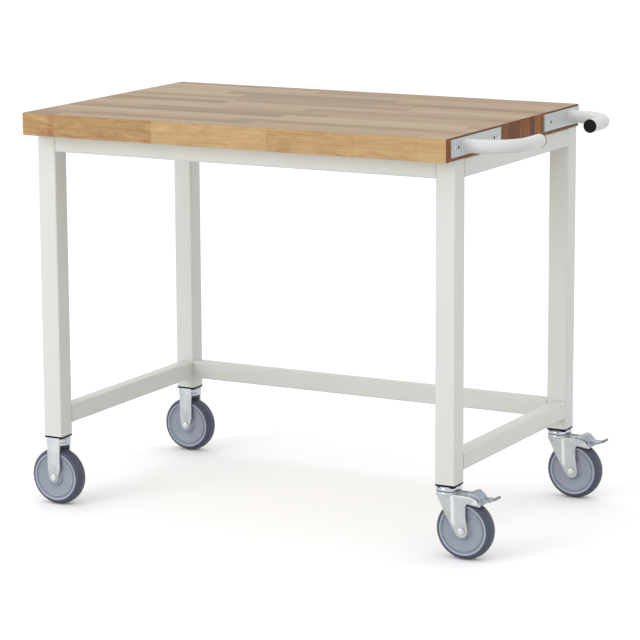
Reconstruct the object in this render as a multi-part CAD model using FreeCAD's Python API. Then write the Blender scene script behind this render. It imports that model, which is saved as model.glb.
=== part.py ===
"""Mobile workbench: beech worktop, tube frame, two fixed and two braked swivel castors, two handles.

Lengths are in millimetres. X runs along the bench towards the handles, Y from front to rear, Z up.
Pieces are laid out from the middle of the worktop and moved, when written, so that the origin is
on the floor under the middle of the whole footprint.
"""

import FreeCAD, Part
import math
import os

Vector = FreeCAD.Vector
X_AXIS = Vector(1, 0, 0)
Y_AXIS = Vector(0, 1, 0)
Z_AXIS = Vector(0, 0, 1)

# Worktop
WORKTOP_LENGTH = 1000.0
WORKTOP_DEPTH = 660.0
WORKTOP_THICKNESS = 48.0
WORKTOP_EDGE_RADIUS = 1.0
BENCH_HEIGHT = 870.0

# Frame tubes
LEG_WIDTH = 45.0
LEG_WALL = 2.0
LEG_CORNER = 4.0
LEG_END_INSET = 3.0
LEG_FRONT_SETBACK = 50.0
LEG_REAR_SETBACK = 0.5
RAIL_HEIGHT = 40.0
RAIL_WIDTH = 30.0
RAIL_WALL = 2.0
RAIL_CORNER = 4.0
TOP_RAIL_RECESS = 1.5
LOWER_RAIL_LIFT = 24.0

# Leg ends
CAP_THICKNESS = 4.0
CAP_PLUG_DEPTH = 10.0
INSERT_THICKNESS = 6.0
FIT_GAP = 0.1
STEM_RADIUS = 6.0
STEM_STANDOUT = 6.0
STEM_HEAD_FLATS = 18.0
STEM_HEAD_HEIGHT = 7.5

# Worktop fixings
BRACKET_LEG = 25.0
BRACKET_LENGTH = 30.0
BRACKET_SHEET = 3.0
FIXING_SCREW_RADIUS = 2.5
FIXING_SCREW_BITE = 28.0
FIXING_HEAD_RADIUS = 5.0
FIXING_HEAD_HEIGHT = 3.0
FIXINGS_PER_LONG_RAIL = 3

# Handles
HANDLE_PLATE_HEIGHT = 36.0
HANDLE_PLATE_SHEET = 3.5
HANDLE_PLATE_CORNER = 1.5
HANDLE_RISE = 2.0
HANDLE_FRONT_PLATE_LENGTH = 232.0
HANDLE_FRONT_PLATE_START = 19.0
HANDLE_FRONT_TUBE_OFFSET = 63.0
HANDLE_REAR_PLATE_LENGTH = 183.0
HANDLE_REAR_PLATE_START = 4.0
HANDLE_REAR_TUBE_OFFSET = 45.0
HANDLE_REACH = 105.0
HANDLE_GRIP = 135.0
HANDLE_BEND_RADIUS = 80.0
HANDLE_TUBE_RADIUS = 14.0
HANDLE_TUBE_WALL = 2.0
HANDLE_PLUG_FLANGE = 2.5
HANDLE_PLUG_LIP = 0.4
HANDLE_PLUG_DEPTH = 16.0
HANDLE_SCREW_EDGE = 14.0
HANDLE_HOLE_EDGE = 32.0
HANDLE_HOLE_RADIUS = 3.3
HANDLE_SCREW_RADIUS = 2.4
HANDLE_SCREW_BITE = 36.0
HANDLE_SCREW_HEAD_RADIUS = 4.6
HANDLE_SCREW_HEAD_HEIGHT = 2.6

# Wheels
WHEEL_RADIUS = 62.5
WHEEL_WIDTH = 34.0
TYRE_FACE_RADIUS = 53.0
TYRE_SEAT_RADIUS = 47.0
TYRE_SEAT_WIDTH = 24.0
CROWN_WIDTH = 20.0
CROWN_DROP = 1.5
HUB_RING_WIDTH = 4.0
HUB_GROOVE_WIDTH = 3.0
HUB_GROOVE_DEPTH = 3.5
HUB_DISC_RECESS = 2.0
HUB_BOSS_RADIUS = 17.0
HUB_BOSS_STANDOUT = 1.5
BEARING_RADIUS = 12.0
SLEEVE_RADIUS = 7.5
AXLE_RADIUS = 5.0
RUNNING_GAP = 0.05

# Castor forks
FORK_SHEET = 2.5
FORK_SIDE_GAP = 1.5
FORK_TOP_GAP = 7.0
RACE_RADIUS = 26.5
RACE_RING_HEIGHT = 6.0
RACE_GAP = 0.6
HEAD_HEIGHT = 9.9
HEAD_BEVEL = 2.5
KING_PIN_WALL = 3.4
KING_PIN_FLANGE = 3.5
KING_PIN_FLANGE_SHEET = 3.0
KING_PIN_PLAY = 0.3
BALL_RADIUS = 2.5
BALL_TRACK_RADIUS = 20.0
BALL_COUNT = 18
SWIVEL_TRAIL = 38.0
SWIVEL_BOSS_RADIUS = 14.0
SWIVEL_LEAD = 21.0
SWIVEL_WAIST_RISE = 30.0
SWIVEL_WAIST_HALF = 9.0
SWIVEL_CREASE = 16.0
SWIVEL_CREASE_TAPER = 3.0
SWIVEL_DECK_REACH = 41.0
SWIVEL_CHEEK_RISE = 2.0
SWIVEL_CHEEK_REACH = 55.0
SWIVEL_SPUR_DEPTH = 5.0
SWIVEL_SPUR_REACH = 11.0
FIXED_BOSS_RADIUS = 11.0
FIXED_HALF_WIDTH = 15.5
FIXED_TAPER_RISE = 18.0
FIXED_HEAD_WALL = 3.5
FIXED_HEAD_GROOVE = 1.4
FIXED_RETURN = 2.2
AXLE_HEAD_RADIUS = 8.0
AXLE_HEAD_HEIGHT = 4.5
AXLE_NUT_FLATS = 15.0
AXLE_NUT_HEIGHT = 5.0

# Brake
BRAKE_PIVOT_ANGLE = 64.0
BRAKE_PIVOT_GAP = 8.2
BRAKE_PIN_RADIUS = 4.0
BRAKE_PIN_HEAD_RADIUS = 5.5
BRAKE_PIN_HEAD_HEIGHT = 1.2
BRAKE_TRAVEL = 15.0
BRAKE_SHOE_GAP = 1.0
BRAKE_SHOE_REACH = 6.5
BRAKE_SHOE_RISE = 3.5
PEDAL_SHEET = 2.5
PEDAL_SIDE_GAP = 1.0
PEDAL_TAIL_REACH = 22.0
PEDAL_TAIL_RISE = 12.5
PEDAL_CROWN_RISE = 18.0
PEDAL_CROWN_RADIUS = 10.0
PEDAL_CROWN_REAR = 15.0
PEDAL_CROWN_FRONT = 7.0
PEDAL_BROW_SETBACK = 1.0
PEDAL_BROW_RISE = 14.5
PEDAL_SHOULDER_REACH = 7.0
PEDAL_SHOULDER_RISE = 6.5
PEDAL_STEP = 4.0
PEDAL_NOSE_REACH = 30.0
PEDAL_NOSE_RISE = 5.5
PEDAL_HEEL_REACH = 10.0
PEDAL_HEEL_DROP = 8.0
PEDAL_EYE_RADIUS = 6.5
TAB_LENGTH = 16.0
TAB_WIDTH = 22.0
TAB_THICKNESS = 4.5
TAB_SLOPE = 26.0

# Levels and places worked out from the sizes above
AXLE_Z = WHEEL_RADIUS
FORK_DECK_Z = 2 * WHEEL_RADIUS + FORK_TOP_GAP
FORK_TOP_Z = FORK_DECK_Z + FORK_SHEET
RACE_TOP_Z = FORK_TOP_Z + RACE_RING_HEIGHT
HEAD_Z = RACE_TOP_Z + RACE_GAP
CASTOR_HEIGHT = HEAD_Z + HEAD_HEIGHT
LEG_BOTTOM_Z = CASTOR_HEIGHT + CAP_THICKNESS
WORKTOP_Z = BENCH_HEIGHT - WORKTOP_THICKNESS
INSERT_Z = LEG_BOTTOM_Z + CAP_PLUG_DEPTH
STEM_TOP_Z = INSERT_Z + INSERT_THICKNESS + STEM_STANDOUT
LOWER_RAIL_Z = LEG_BOTTOM_Z + LOWER_RAIL_LIFT
TOP_RAIL_Z = WORKTOP_Z - RAIL_HEIGHT
HUB_HALF = WHEEL_WIDTH / 2 + HUB_BOSS_STANDOUT
FORK_INNER = HUB_HALF + FORK_SIDE_GAP
FORK_OUTER = FORK_INNER + FORK_SHEET
END_X = WORKTOP_LENGTH / 2
EDGE_Y = WORKTOP_DEPTH / 2
LEG_X = END_X - LEG_END_INSET - LEG_WIDTH / 2
LEG_FRONT_Y = -EDGE_Y + LEG_FRONT_SETBACK + LEG_WIDTH / 2
LEG_REAR_Y = EDGE_Y - LEG_REAR_SETBACK - LEG_WIDTH / 2
HANDLE_Z = BENCH_HEIGHT - WORKTOP_THICKNESS / 2 + HANDLE_RISE
PIVOT_X = SWIVEL_TRAIL + (WHEEL_RADIUS + BRAKE_PIVOT_GAP) * math.cos(math.radians(BRAKE_PIVOT_ANGLE))
PIVOT_Z = AXLE_Z + (WHEEL_RADIUS + BRAKE_PIVOT_GAP) * math.sin(math.radians(BRAKE_PIVOT_ANGLE))
LEFT, RIGHT = -LEG_X, LEG_X
ROWS = {"front": LEG_FRONT_Y, "rear": LEG_REAR_Y}


def box(low, high):
    """Return the box between two opposite corners."""
    return Part.makeBox(*[b - a for a, b in zip(low, high)], Vector(*low))


def rod(radius, start, end):
    """Return a round bar between two points."""
    direction = Vector(*end) - Vector(*start)
    return Part.makeCylinder(radius, direction.Length, Vector(*start), direction)


def hexagon(flats, start, end):
    """Return a hexagonal bar of the given width across flats between two points along one axis."""
    start, end = Vector(*start), Vector(*end)
    axis = end - start
    corner = flats / math.sqrt(3.0)
    side = X_AXIS if abs(axis.x) < abs(axis.Length) / 2 else Y_AXIS
    other = axis.cross(side).normalize()
    ring = []
    for step in range(7):
        angle = math.radians(60 * step)
        ring.append(start + side * (corner * math.cos(angle)) + other * (corner * math.sin(angle)))
    return Part.Face(Part.makePolygon(ring)).extrude(axis)


def prism(outline, half_width):
    """Return an outline of (x, z) points, extruded evenly to both sides of the XZ plane."""
    points = [Vector(x, -half_width, z) for x, z in outline]
    face = Part.Face(Part.makePolygon(points + points[:1]))
    return face.extrude(Vector(0, 2 * half_width, 0))


def plan(outline, bottom, top):
    """Return an outline of (x, y) points, extruded between two levels."""
    points = [Vector(x, y, bottom) for x, y in outline]
    return Part.Face(Part.makePolygon(points + points[:1])).extrude(Vector(0, 0, top - bottom))


def turned(outline, axis):
    """Return the solid made by turning (radius, height) points about an axis through the origin."""
    side = X_AXIS if axis is not X_AXIS else Z_AXIS
    points = [side * radius + axis * height for radius, height in outline]
    face = Part.Face(Part.makePolygon(points + points[:1]))
    return face.revolve(Vector(0, 0, 0), axis, 360)


def moved(shape, x=0.0, y=0.0, z=0.0):
    """Return a copy of a shape at another place."""
    return shape.translated(Vector(x, y, z))


def mirrored(shape):
    """Return the shape's mirror image across the XZ plane."""
    return shape.mirror(Vector(0, 0, 0), Y_AXIS)


def rounded_bar(low, high, axis, radius):
    """Return a box whose long edges, along the given axis, are rounded."""
    solid = box(low, high)
    edges = [edge for edge in solid.Edges if abs(edge.tangentAt(edge.FirstParameter).dot(axis)) > 0.9]
    return solid.makeFillet(radius, edges)


def tube(low, high, axis, wall, corner):
    """Return a rectangular tube that fills a box, open at both ends along the given axis."""
    inset = Vector(wall, wall, wall) - axis * wall
    inner_low = Vector(*low) + inset
    inner_high = Vector(*high) - inset
    inner_corner = max(corner - wall, wall / 4)
    outer = rounded_bar(low, high, axis, corner)
    return outer.cut(rounded_bar(tuple(inner_low), tuple(inner_high), axis, inner_corner))


def make_legs():
    """Return the four square legs, each under its own name."""
    half = LEG_WIDTH / 2
    legs = {}
    for side, x in (("left", LEFT), ("right", RIGHT)):
        for row, y in ROWS.items():
            low = (x - half, y - half, LEG_BOTTOM_Z)
            high = (x + half, y + half, WORKTOP_Z)
            legs[f"leg_{row}_{side}"] = tube(low, high, Z_AXIS, LEG_WALL, LEG_CORNER)
    return legs


def make_rails():
    """Return the four top rails and the three lower rails.

    Side rails lie flush with the legs' handle-side faces, because both end frames are alike. The
    lower rear rail lies flush with the rear legs' front faces, and the front is left open.
    """
    half = LEG_WIDTH / 2
    front_face = LEG_FRONT_Y - half + TOP_RAIL_RECESS
    rear_face = LEG_REAR_Y + half - TOP_RAIL_RECESS
    inner_rear = LEG_REAR_Y - half
    span_x = (LEFT + half, RIGHT - half)
    span_y = (LEG_FRONT_Y + half, LEG_REAR_Y - half)
    long_rails = {
        "top_rail_front": (front_face, TOP_RAIL_Z),
        "top_rail_rear": (rear_face - RAIL_WIDTH, TOP_RAIL_Z),
        "lower_rail_rear": (inner_rear, LOWER_RAIL_Z),
    }
    rails = {}
    for name, (y, z) in long_rails.items():
        low = (span_x[0], y, z)
        high = (span_x[1], y + RAIL_WIDTH, z + RAIL_HEIGHT)
        rails[name] = tube(low, high, X_AXIS, RAIL_WALL, RAIL_CORNER)
    for side, leg_x in (("left", LEFT), ("right", RIGHT)):
        for level, z in (("top", TOP_RAIL_Z), ("lower", LOWER_RAIL_Z)):
            face = leg_x + half
            low = (face - RAIL_WIDTH, span_y[0], z)
            high = (face, span_y[1], z + RAIL_HEIGHT)
            rails[f"{level}_rail_{side}"] = tube(low, high, Y_AXIS, RAIL_WALL, RAIL_CORNER)
    return rails


def fixing_places():
    """Return each worktop fixing's place on a top rail's inner face, with the way that it faces."""
    half = LEG_WIDTH / 2
    front = LEG_FRONT_Y - half + TOP_RAIL_RECESS + RAIL_WIDTH
    rear = LEG_REAR_Y + half - TOP_RAIL_RECESS - RAIL_WIDTH
    pitch = 2 * LEG_X / (FIXINGS_PER_LONG_RAIL + 1)
    places = []
    for step in range(1, FIXINGS_PER_LONG_RAIL + 1):
        x = LEFT + step * pitch
        places.append((x, front, 90.0))
        places.append((x, rear, -90.0))
    middle = (LEG_FRONT_Y + LEG_REAR_Y) / 2
    places.append((LEFT + half, middle, 0.0))
    places.append((RIGHT + half - RAIL_WIDTH, middle, 180.0))
    return places


def at_fixings(shape):
    """Return copies of a shape, drawn facing +X at the origin, at every worktop fixing."""
    copies = []
    for x, y, angle in fixing_places():
        copy = shape.copy()
        copy.rotate(Vector(0, 0, 0), Z_AXIS, angle)
        copies.append(moved(copy, x, y, WORKTOP_Z))
    return Part.makeCompound(copies)


def make_fixings():
    """Return the worktop's angle brackets, its screws and the screw holes to cut in the wood."""
    half = BRACKET_LENGTH / 2
    seat = -BRACKET_SHEET
    upright = box((0, -half, -BRACKET_LEG), (BRACKET_SHEET, half, 0))
    flange = box((0, -half, seat), (BRACKET_LEG, half, 0))
    reach = BRACKET_SHEET + (BRACKET_LEG - BRACKET_SHEET) / 2
    hole_end = FIXING_SCREW_BITE + FIT_GAP
    hole = rod(FIXING_SCREW_RADIUS + FIT_GAP, (reach, 0, -BRACKET_LEG), (reach, 0, hole_end))
    bracket = upright.fuse(flange).removeSplitter().cut(hole)
    shank = rod(FIXING_SCREW_RADIUS, (reach, 0, seat), (reach, 0, FIXING_SCREW_BITE))
    head = rod(FIXING_HEAD_RADIUS, (reach, 0, seat - FIXING_HEAD_HEIGHT), (reach, 0, seat))
    screw = shank.fuse(head).removeSplitter()
    return at_fixings(bracket), at_fixings(screw), at_fixings(hole)


def handle_layout():
    """Return each handle's plate span, tube place and the side that its grip bends towards."""
    front = -EDGE_Y + HANDLE_FRONT_PLATE_START
    rear = EDGE_Y - HANDLE_REAR_PLATE_START
    return {
        "front": (front, front + HANDLE_FRONT_PLATE_LENGTH, front + HANDLE_FRONT_TUBE_OFFSET, 1),
        "rear": (rear - HANDLE_REAR_PLATE_LENGTH, rear, rear - HANDLE_REAR_TUBE_OFFSET, -1),
    }


def bent_tube(radius, tube_y, turn, start_x):
    """Return a solid bar along a handle's centre line: out along X, round the bend, then along Y."""
    grip_x = END_X + HANDLE_REACH
    bend = HANDLE_BEND_RADIUS
    corner_x = grip_x - bend
    diagonal = bend * math.sqrt(0.5)
    middle = Vector(corner_x + diagonal, tube_y + turn * (bend - diagonal), HANDLE_Z)
    start = Vector(start_x, tube_y, HANDLE_Z)
    bend_in = Vector(corner_x, tube_y, HANDLE_Z)
    bend_out = Vector(grip_x, tube_y + turn * bend, HANDLE_Z)
    end = Vector(grip_x, tube_y + turn * HANDLE_GRIP, HANDLE_Z)
    path = Part.Wire([
        Part.LineSegment(start, bend_in).toShape(),
        Part.Arc(bend_in, middle, bend_out).toShape(),
        Part.LineSegment(bend_out, end).toShape(),
    ])
    ring = Part.Wire([Part.makeCircle(radius, start, X_AXIS)])
    return path.makePipeShell([ring], True, True)


def make_handles():
    """Return the plates, tubes and plugs of both handles, their screws and the holes in the wood."""
    pieces, screws, holes = {}, [], []
    face_x = END_X + HANDLE_PLATE_SHEET
    half = HANDLE_PLATE_HEIGHT / 2
    for row, (low_y, high_y, tube_y, turn) in handle_layout().items():
        low = (END_X, low_y, HANDLE_Z - half)
        high = (face_x, high_y, HANDLE_Z + half)
        plate = rounded_bar(low, high, X_AXIS, HANDLE_PLATE_CORNER)
        for edge_y, inward in ((low_y, 1), (high_y, -1)):
            spare_y = edge_y + inward * HANDLE_HOLE_EDGE
            spare = rod(HANDLE_HOLE_RADIUS, (END_X, spare_y, HANDLE_Z), (face_x, spare_y, HANDLE_Z))
            plate = plate.cut(spare)
            screw_y = edge_y + inward * HANDLE_SCREW_EDGE
            tip = (END_X - HANDLE_SCREW_BITE, screw_y, HANDLE_Z)
            seat = (face_x, screw_y, HANDLE_Z)
            top = (face_x + HANDLE_SCREW_HEAD_HEIGHT, screw_y, HANDLE_Z)
            hole = rod(HANDLE_SCREW_RADIUS + FIT_GAP, (tip[0] - FIT_GAP, screw_y, HANDLE_Z), seat)
            plate = plate.cut(hole)
            holes.append(hole)
            head = rod(HANDLE_SCREW_HEAD_RADIUS, seat, top)
            rim = [edge for edge in head.Edges if edge.BoundBox.XMin > face_x]
            head = head.makeFillet(HANDLE_SCREW_HEAD_HEIGHT * 0.6, rim)
            screws.append(rod(HANDLE_SCREW_RADIUS, tip, seat).fuse(head).removeSplitter())
        inner_radius = HANDLE_TUBE_RADIUS - HANDLE_TUBE_WALL
        outer = bent_tube(HANDLE_TUBE_RADIUS, tube_y, turn, face_x)
        pieces[f"handle_plate_{row}"] = plate
        pieces[f"handle_tube_{row}"] = outer.cut(bent_tube(inner_radius, tube_y, turn, face_x))
        end_y = tube_y + turn * HANDLE_GRIP
        grip_x = END_X + HANDLE_REACH
        flange_end = (grip_x, end_y + turn * HANDLE_PLUG_FLANGE, HANDLE_Z)
        flange = rod(HANDLE_TUBE_RADIUS + HANDLE_PLUG_LIP, (grip_x, end_y, HANDLE_Z), flange_end)
        plug_end = (grip_x, end_y - turn * HANDLE_PLUG_DEPTH, HANDLE_Z)
        plug = rod(inner_radius - FIT_GAP, plug_end, (grip_x, end_y, HANDLE_Z))
        pieces[f"handle_plug_{row}"] = flange.fuse(plug).removeSplitter()
    return pieces, Part.makeCompound(screws), Part.makeCompound(holes)


def make_worktop(holes):
    """Return the worktop board with eased edges and its screw holes."""
    board = box((-END_X, -EDGE_Y, WORKTOP_Z), (END_X, EDGE_Y, BENCH_HEIGHT))
    board = board.makeFillet(WORKTOP_EDGE_RADIUS, board.Edges)
    for hole in holes:
        board = board.cut(hole)
    return board


def at_castors(left_shape, right_shape):
    """Return copies of a piece at all four legs, drawn about the leg's axis."""
    copies = []
    for y in ROWS.values():
        copies.append(moved(left_shape, LEFT, y))
        copies.append(moved(right_shape, RIGHT, y))
    return Part.makeCompound(copies)


def make_leg_ends():
    """Return the end caps, the threaded insert plates and the castor bolts of all four legs."""
    half = LEG_WIDTH / 2
    inside = half - LEG_WALL - FIT_GAP
    corner = max(LEG_CORNER - LEG_WALL, LEG_WALL / 4)
    bore = STEM_RADIUS + FIT_GAP
    lid = rounded_bar((-half, -half, CASTOR_HEIGHT), (half, half, LEG_BOTTOM_Z), Z_AXIS, LEG_CORNER)
    plug = rounded_bar((-inside, -inside, LEG_BOTTOM_Z), (inside, inside, INSERT_Z), Z_AXIS, corner)
    insert_top = INSERT_Z + INSERT_THICKNESS
    insert = rounded_bar((-inside, -inside, INSERT_Z), (inside, inside, insert_top), Z_AXIS, corner)
    hole = rod(bore, (0, 0, CASTOR_HEIGHT), (0, 0, insert_top))
    cap = lid.fuse(plug).removeSplitter().cut(hole)
    insert = insert.cut(hole)
    bolts = []
    for seat in (CASTOR_HEIGHT - FORK_SHEET, king_pin_foot()):
        head = hexagon(STEM_HEAD_FLATS, (0, 0, seat - STEM_HEAD_HEIGHT), (0, 0, seat))
        shank = rod(STEM_RADIUS, (0, 0, seat), (0, 0, STEM_TOP_Z))
        bolts.append(head.fuse(shank).removeSplitter())
    return at_castors(cap, cap), at_castors(insert, insert), at_castors(*bolts)


def king_pin_foot():
    """Return the level of the king pin's lower face, where the castor bolt's head bears."""
    return FORK_DECK_Z - KING_PIN_PLAY - KING_PIN_FLANGE_SHEET


def king_pin_radius():
    """Return the outer radius of the hollow king pin, which the castor bolt passes through."""
    return STEM_RADIUS + FIT_GAP + KING_PIN_WALL


def ball_track():
    """Return the ring-shaped groove that the balls run in, half in each race."""
    track = Part.makeTorus(BALL_TRACK_RADIUS, BALL_RADIUS + RUNNING_GAP)
    return moved(track, z=RACE_TOP_Z + RACE_GAP / 2)


def make_swivel_head():
    """Return the upper race of a swivel castor with its hollow king pin and retaining flange."""
    bore = STEM_RADIUS + FIT_GAP
    pin = king_pin_radius()
    foot = king_pin_foot()
    flange = pin + KING_PIN_FLANGE
    flange_top = foot + KING_PIN_FLANGE_SHEET
    outline = [
        (bore, foot), (flange, foot), (flange, flange_top), (pin, flange_top), (pin, HEAD_Z),
        (RACE_RADIUS, HEAD_Z), (RACE_RADIUS, CASTOR_HEIGHT - HEAD_BEVEL),
        (RACE_RADIUS - HEAD_BEVEL, CASTOR_HEIGHT), (bore, CASTOR_HEIGHT),
    ]
    return turned(outline, Z_AXIS).cut(ball_track())


def make_balls():
    """Return the balls between a swivel castor's two races."""
    ball = Part.makeSphere(BALL_RADIUS, Vector(BALL_TRACK_RADIUS, 0, RACE_TOP_Z + RACE_GAP / 2))
    balls = []
    for step in range(BALL_COUNT):
        copy = ball.copy()
        copy.rotate(Vector(0, 0, 0), Z_AXIS, 360.0 * step / BALL_COUNT)
        balls.append(copy)
    return Part.makeCompound(balls)


def swivel_cheek():
    """Return one side plate of a swivel fork, creased so that its leading part tapers inwards."""
    top = FORK_TOP_Z
    waist_z = AXLE_Z + SWIVEL_WAIST_RISE
    trail = SWIVEL_TRAIL
    lean = math.radians(50.0)
    boss_left = (trail - SWIVEL_BOSS_RADIUS * math.sin(lean), AXLE_Z - SWIVEL_BOSS_RADIUS * math.cos(lean))
    boss_right = (trail + SWIVEL_BOSS_RADIUS, AXLE_Z)
    spur_x = PIVOT_X + SWIVEL_SPUR_REACH
    outline = [
        (-SWIVEL_LEAD, top),
        (SWIVEL_CREASE, top + SWIVEL_CHEEK_RISE),
        (SWIVEL_CHEEK_REACH, top + SWIVEL_CHEEK_RISE),
        (PIVOT_X, PIVOT_Z + SWIVEL_SPUR_DEPTH + BRAKE_PIN_RADIUS / 2),
        (spur_x, PIVOT_Z - BRAKE_PIN_RADIUS),
        (spur_x, PIVOT_Z - SWIVEL_SPUR_DEPTH - BRAKE_PIN_RADIUS),
        (trail + SWIVEL_WAIST_HALF + BRAKE_PIN_RADIUS, PIVOT_Z - SWIVEL_SPUR_DEPTH),
        (trail + SWIVEL_WAIST_HALF, PIVOT_Z - SWIVEL_SPUR_DEPTH - BRAKE_PIN_RADIUS),
        (trail + SWIVEL_WAIST_HALF, waist_z),
        boss_right,
        (trail, AXLE_Z),
        boss_left,
        (trail - SWIVEL_WAIST_RISE * 1.2, waist_z),
    ]
    blank = prism(outline, FORK_OUTER * 2)
    boss = rod(SWIVEL_BOSS_RADIUS, (trail, -FORK_OUTER * 2, AXLE_Z), (trail, FORK_OUTER * 2, AXLE_Z))
    far = spur_x + FORK_OUTER
    lead_y = FORK_OUTER - SWIVEL_CREASE_TAPER
    sheet = plan([
        (-SWIVEL_LEAD, lead_y), (SWIVEL_CREASE, FORK_OUTER), (far, FORK_OUTER), (far, FORK_INNER),
        (SWIVEL_CREASE, FORK_INNER), (-SWIVEL_LEAD, lead_y - FORK_SHEET),
    ], 0.0, CASTOR_HEIGHT)
    return blank.fuse(boss).removeSplitter().common(sheet)


def make_swivel_fork():
    """Return a swivel fork: two creased cheeks under a deck that carries the lower race."""
    cheek = swivel_cheek()
    deck_disc = rod(RACE_RADIUS - FORK_SHEET, (0, 0, FORK_DECK_Z), (0, 0, FORK_TOP_Z))
    deck = deck_disc.fuse(box((0, -FORK_OUTER, FORK_DECK_Z), (SWIVEL_DECK_REACH, FORK_OUTER, FORK_TOP_Z)))
    ring = rod(RACE_RADIUS, (0, 0, FORK_TOP_Z), (0, 0, RACE_TOP_Z))
    fork = deck.fuse([ring, cheek, mirrored(cheek)]).removeSplitter()
    pin_hole = rod(king_pin_radius() + RUNNING_GAP, (0, 0, FORK_DECK_Z), (0, 0, RACE_TOP_Z))
    side = FORK_OUTER + FIT_GAP
    axle_hole = rod(AXLE_RADIUS + FIT_GAP, (SWIVEL_TRAIL, -side, AXLE_Z), (SWIVEL_TRAIL, side, AXLE_Z))
    brake_hole = rod(BRAKE_PIN_RADIUS + FIT_GAP, (PIVOT_X, -side, PIVOT_Z), (PIVOT_X, side, PIVOT_Z))
    return fork.cut([pin_hole, axle_hole, brake_hole, ball_track()])


def fixed_leg_outline(margin):
    """Return the outline of a fixed fork's leg above its axle boss, drawn in by a margin."""
    wide = FIXED_HALF_WIDTH - margin
    boss = FIXED_BOSS_RADIUS - margin
    taper_z = AXLE_Z + FIXED_TAPER_RISE
    right = [(boss, AXLE_Z), (wide, taper_z), (wide, CASTOR_HEIGHT - margin)]
    return right + [(-x, z) for x, z in reversed(right)]


def make_fixed_head():
    """Return a fixed castor's round head: a deck with a grooved rim, flat where the legs are."""
    bore = STEM_RADIUS + FIT_GAP
    wall = RACE_RADIUS - FIXED_HEAD_WALL
    groove = RACE_RADIUS - FIXED_HEAD_GROOVE
    deck_z = CASTOR_HEIGHT - FORK_SHEET
    outline = [
        (bore, deck_z), (wall, deck_z), (wall, FORK_TOP_Z), (RACE_RADIUS, FORK_TOP_Z),
        (RACE_RADIUS, RACE_TOP_Z - FIXED_HEAD_GROOVE), (groove, RACE_TOP_Z),
        (RACE_RADIUS, RACE_TOP_Z + FIXED_HEAD_GROOVE), (RACE_RADIUS, CASTOR_HEIGHT - HEAD_BEVEL),
        (RACE_RADIUS - HEAD_BEVEL, CASTOR_HEIGHT), (bore, CASTOR_HEIGHT),
    ]
    flats = box((-LEG_WIDTH, -FORK_OUTER, 0), (LEG_WIDTH, FORK_OUTER, CASTOR_HEIGHT))
    return turned(outline, Z_AXIS).common(flats)


def make_fixed_fork():
    """Return a fixed fork: two dished legs with returned edges under a round head."""
    inner = FORK_INNER - FIXED_RETURN
    skin = prism(fixed_leg_outline(0.0), FORK_OUTER)
    boss = rod(FIXED_BOSS_RADIUS, (0, -FORK_OUTER, AXLE_Z), (0, FORK_OUTER, AXLE_Z))
    skin = skin.fuse(boss).removeSplitter()
    deck_z = CASTOR_HEIGHT - FORK_SHEET
    gap = box((-LEG_WIDTH, -inner, 0), (LEG_WIDTH, inner, deck_z))
    dish = prism(fixed_leg_outline(FORK_SHEET), FORK_INNER)
    floor = AXLE_Z + FIXED_TAPER_RISE
    relief = box((-LEG_WIDTH, -FORK_INNER, 0), (LEG_WIDTH, FORK_INNER, floor))
    side = FORK_OUTER + FIT_GAP
    axle_hole = rod(AXLE_RADIUS + FIT_GAP, (0, -side, AXLE_Z), (0, side, AXLE_Z))
    stem_hole = rod(STEM_RADIUS + FIT_GAP, (0, 0, deck_z), (0, 0, CASTOR_HEIGHT))
    legs = skin.cut([gap, dish, relief, axle_hole, stem_hole])
    return legs.fuse(make_fixed_head()).removeSplitter()


def make_axle():
    """Return an axle's bolt, nut and spacer sleeve, drawn about the wheel's centre."""
    head_end = -FORK_OUTER - AXLE_HEAD_HEIGHT
    nut_end = FORK_OUTER + AXLE_NUT_HEIGHT
    shank = rod(AXLE_RADIUS, (0, -FORK_OUTER, 0), (0, nut_end, 0))
    head = rod(AXLE_HEAD_RADIUS, (0, head_end, 0), (0, -FORK_OUTER, 0))
    rim = [edge for edge in head.Edges if edge.BoundBox.YMax < -FORK_OUTER - FIT_GAP]
    head = head.makeFillet(AXLE_HEAD_HEIGHT * 0.8, rim)
    nut = hexagon(AXLE_NUT_FLATS, (0, FORK_OUTER, 0), (0, nut_end, 0))
    bore = AXLE_RADIUS + FIT_GAP
    nut = nut.cut(rod(bore, (0, FORK_OUTER, 0), (0, nut_end, 0)))
    sleeve = rod(SLEEVE_RADIUS, (0, -FORK_INNER, 0), (0, FORK_INNER, 0))
    sleeve = sleeve.cut(rod(bore, (0, -FORK_INNER, 0), (0, FORK_INNER, 0)))
    return shank.fuse(head).removeSplitter(), nut, sleeve


def make_tyre():
    """Return a tyre with a gently crowned tread and round shoulders, drawn about the wheel's centre."""
    half = WHEEL_WIDTH / 2
    seat = TYRE_SEAT_WIDTH / 2
    crown = CROWN_WIDTH / 2
    crown_edge = WHEEL_RADIUS - CROWN_DROP
    shoulder = ((TYRE_FACE_RADIUS + crown_edge) / 2 + CROWN_DROP, (half + crown) / 2 + CROWN_DROP)

    def point(radius, y):
        return Vector(radius, y, 0)

    corners = [(TYRE_FACE_RADIUS, -half), (TYRE_FACE_RADIUS, -seat), (TYRE_SEAT_RADIUS, -seat),
               (TYRE_SEAT_RADIUS, seat), (TYRE_FACE_RADIUS, seat), (TYRE_FACE_RADIUS, half)]
    inner = Part.makePolygon([point(*corner) for corner in corners])
    arcs = []
    for side in (1, -1):
        start = point(TYRE_FACE_RADIUS, side * half)
        middle = point(shoulder[0], side * shoulder[1])
        arcs.append(Part.Arc(start, middle, point(crown_edge, side * crown)).toShape())
    tread = Part.Arc(point(crown_edge, crown), point(WHEEL_RADIUS, 0), point(crown_edge, -crown)).toShape()
    profile = Part.Wire(Part.__sortEdges__(inner.Edges + [arcs[0], tread, arcs[1]]))
    return Part.Face(profile).revolve(Vector(0, 0, 0), Y_AXIS, 360)


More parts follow.
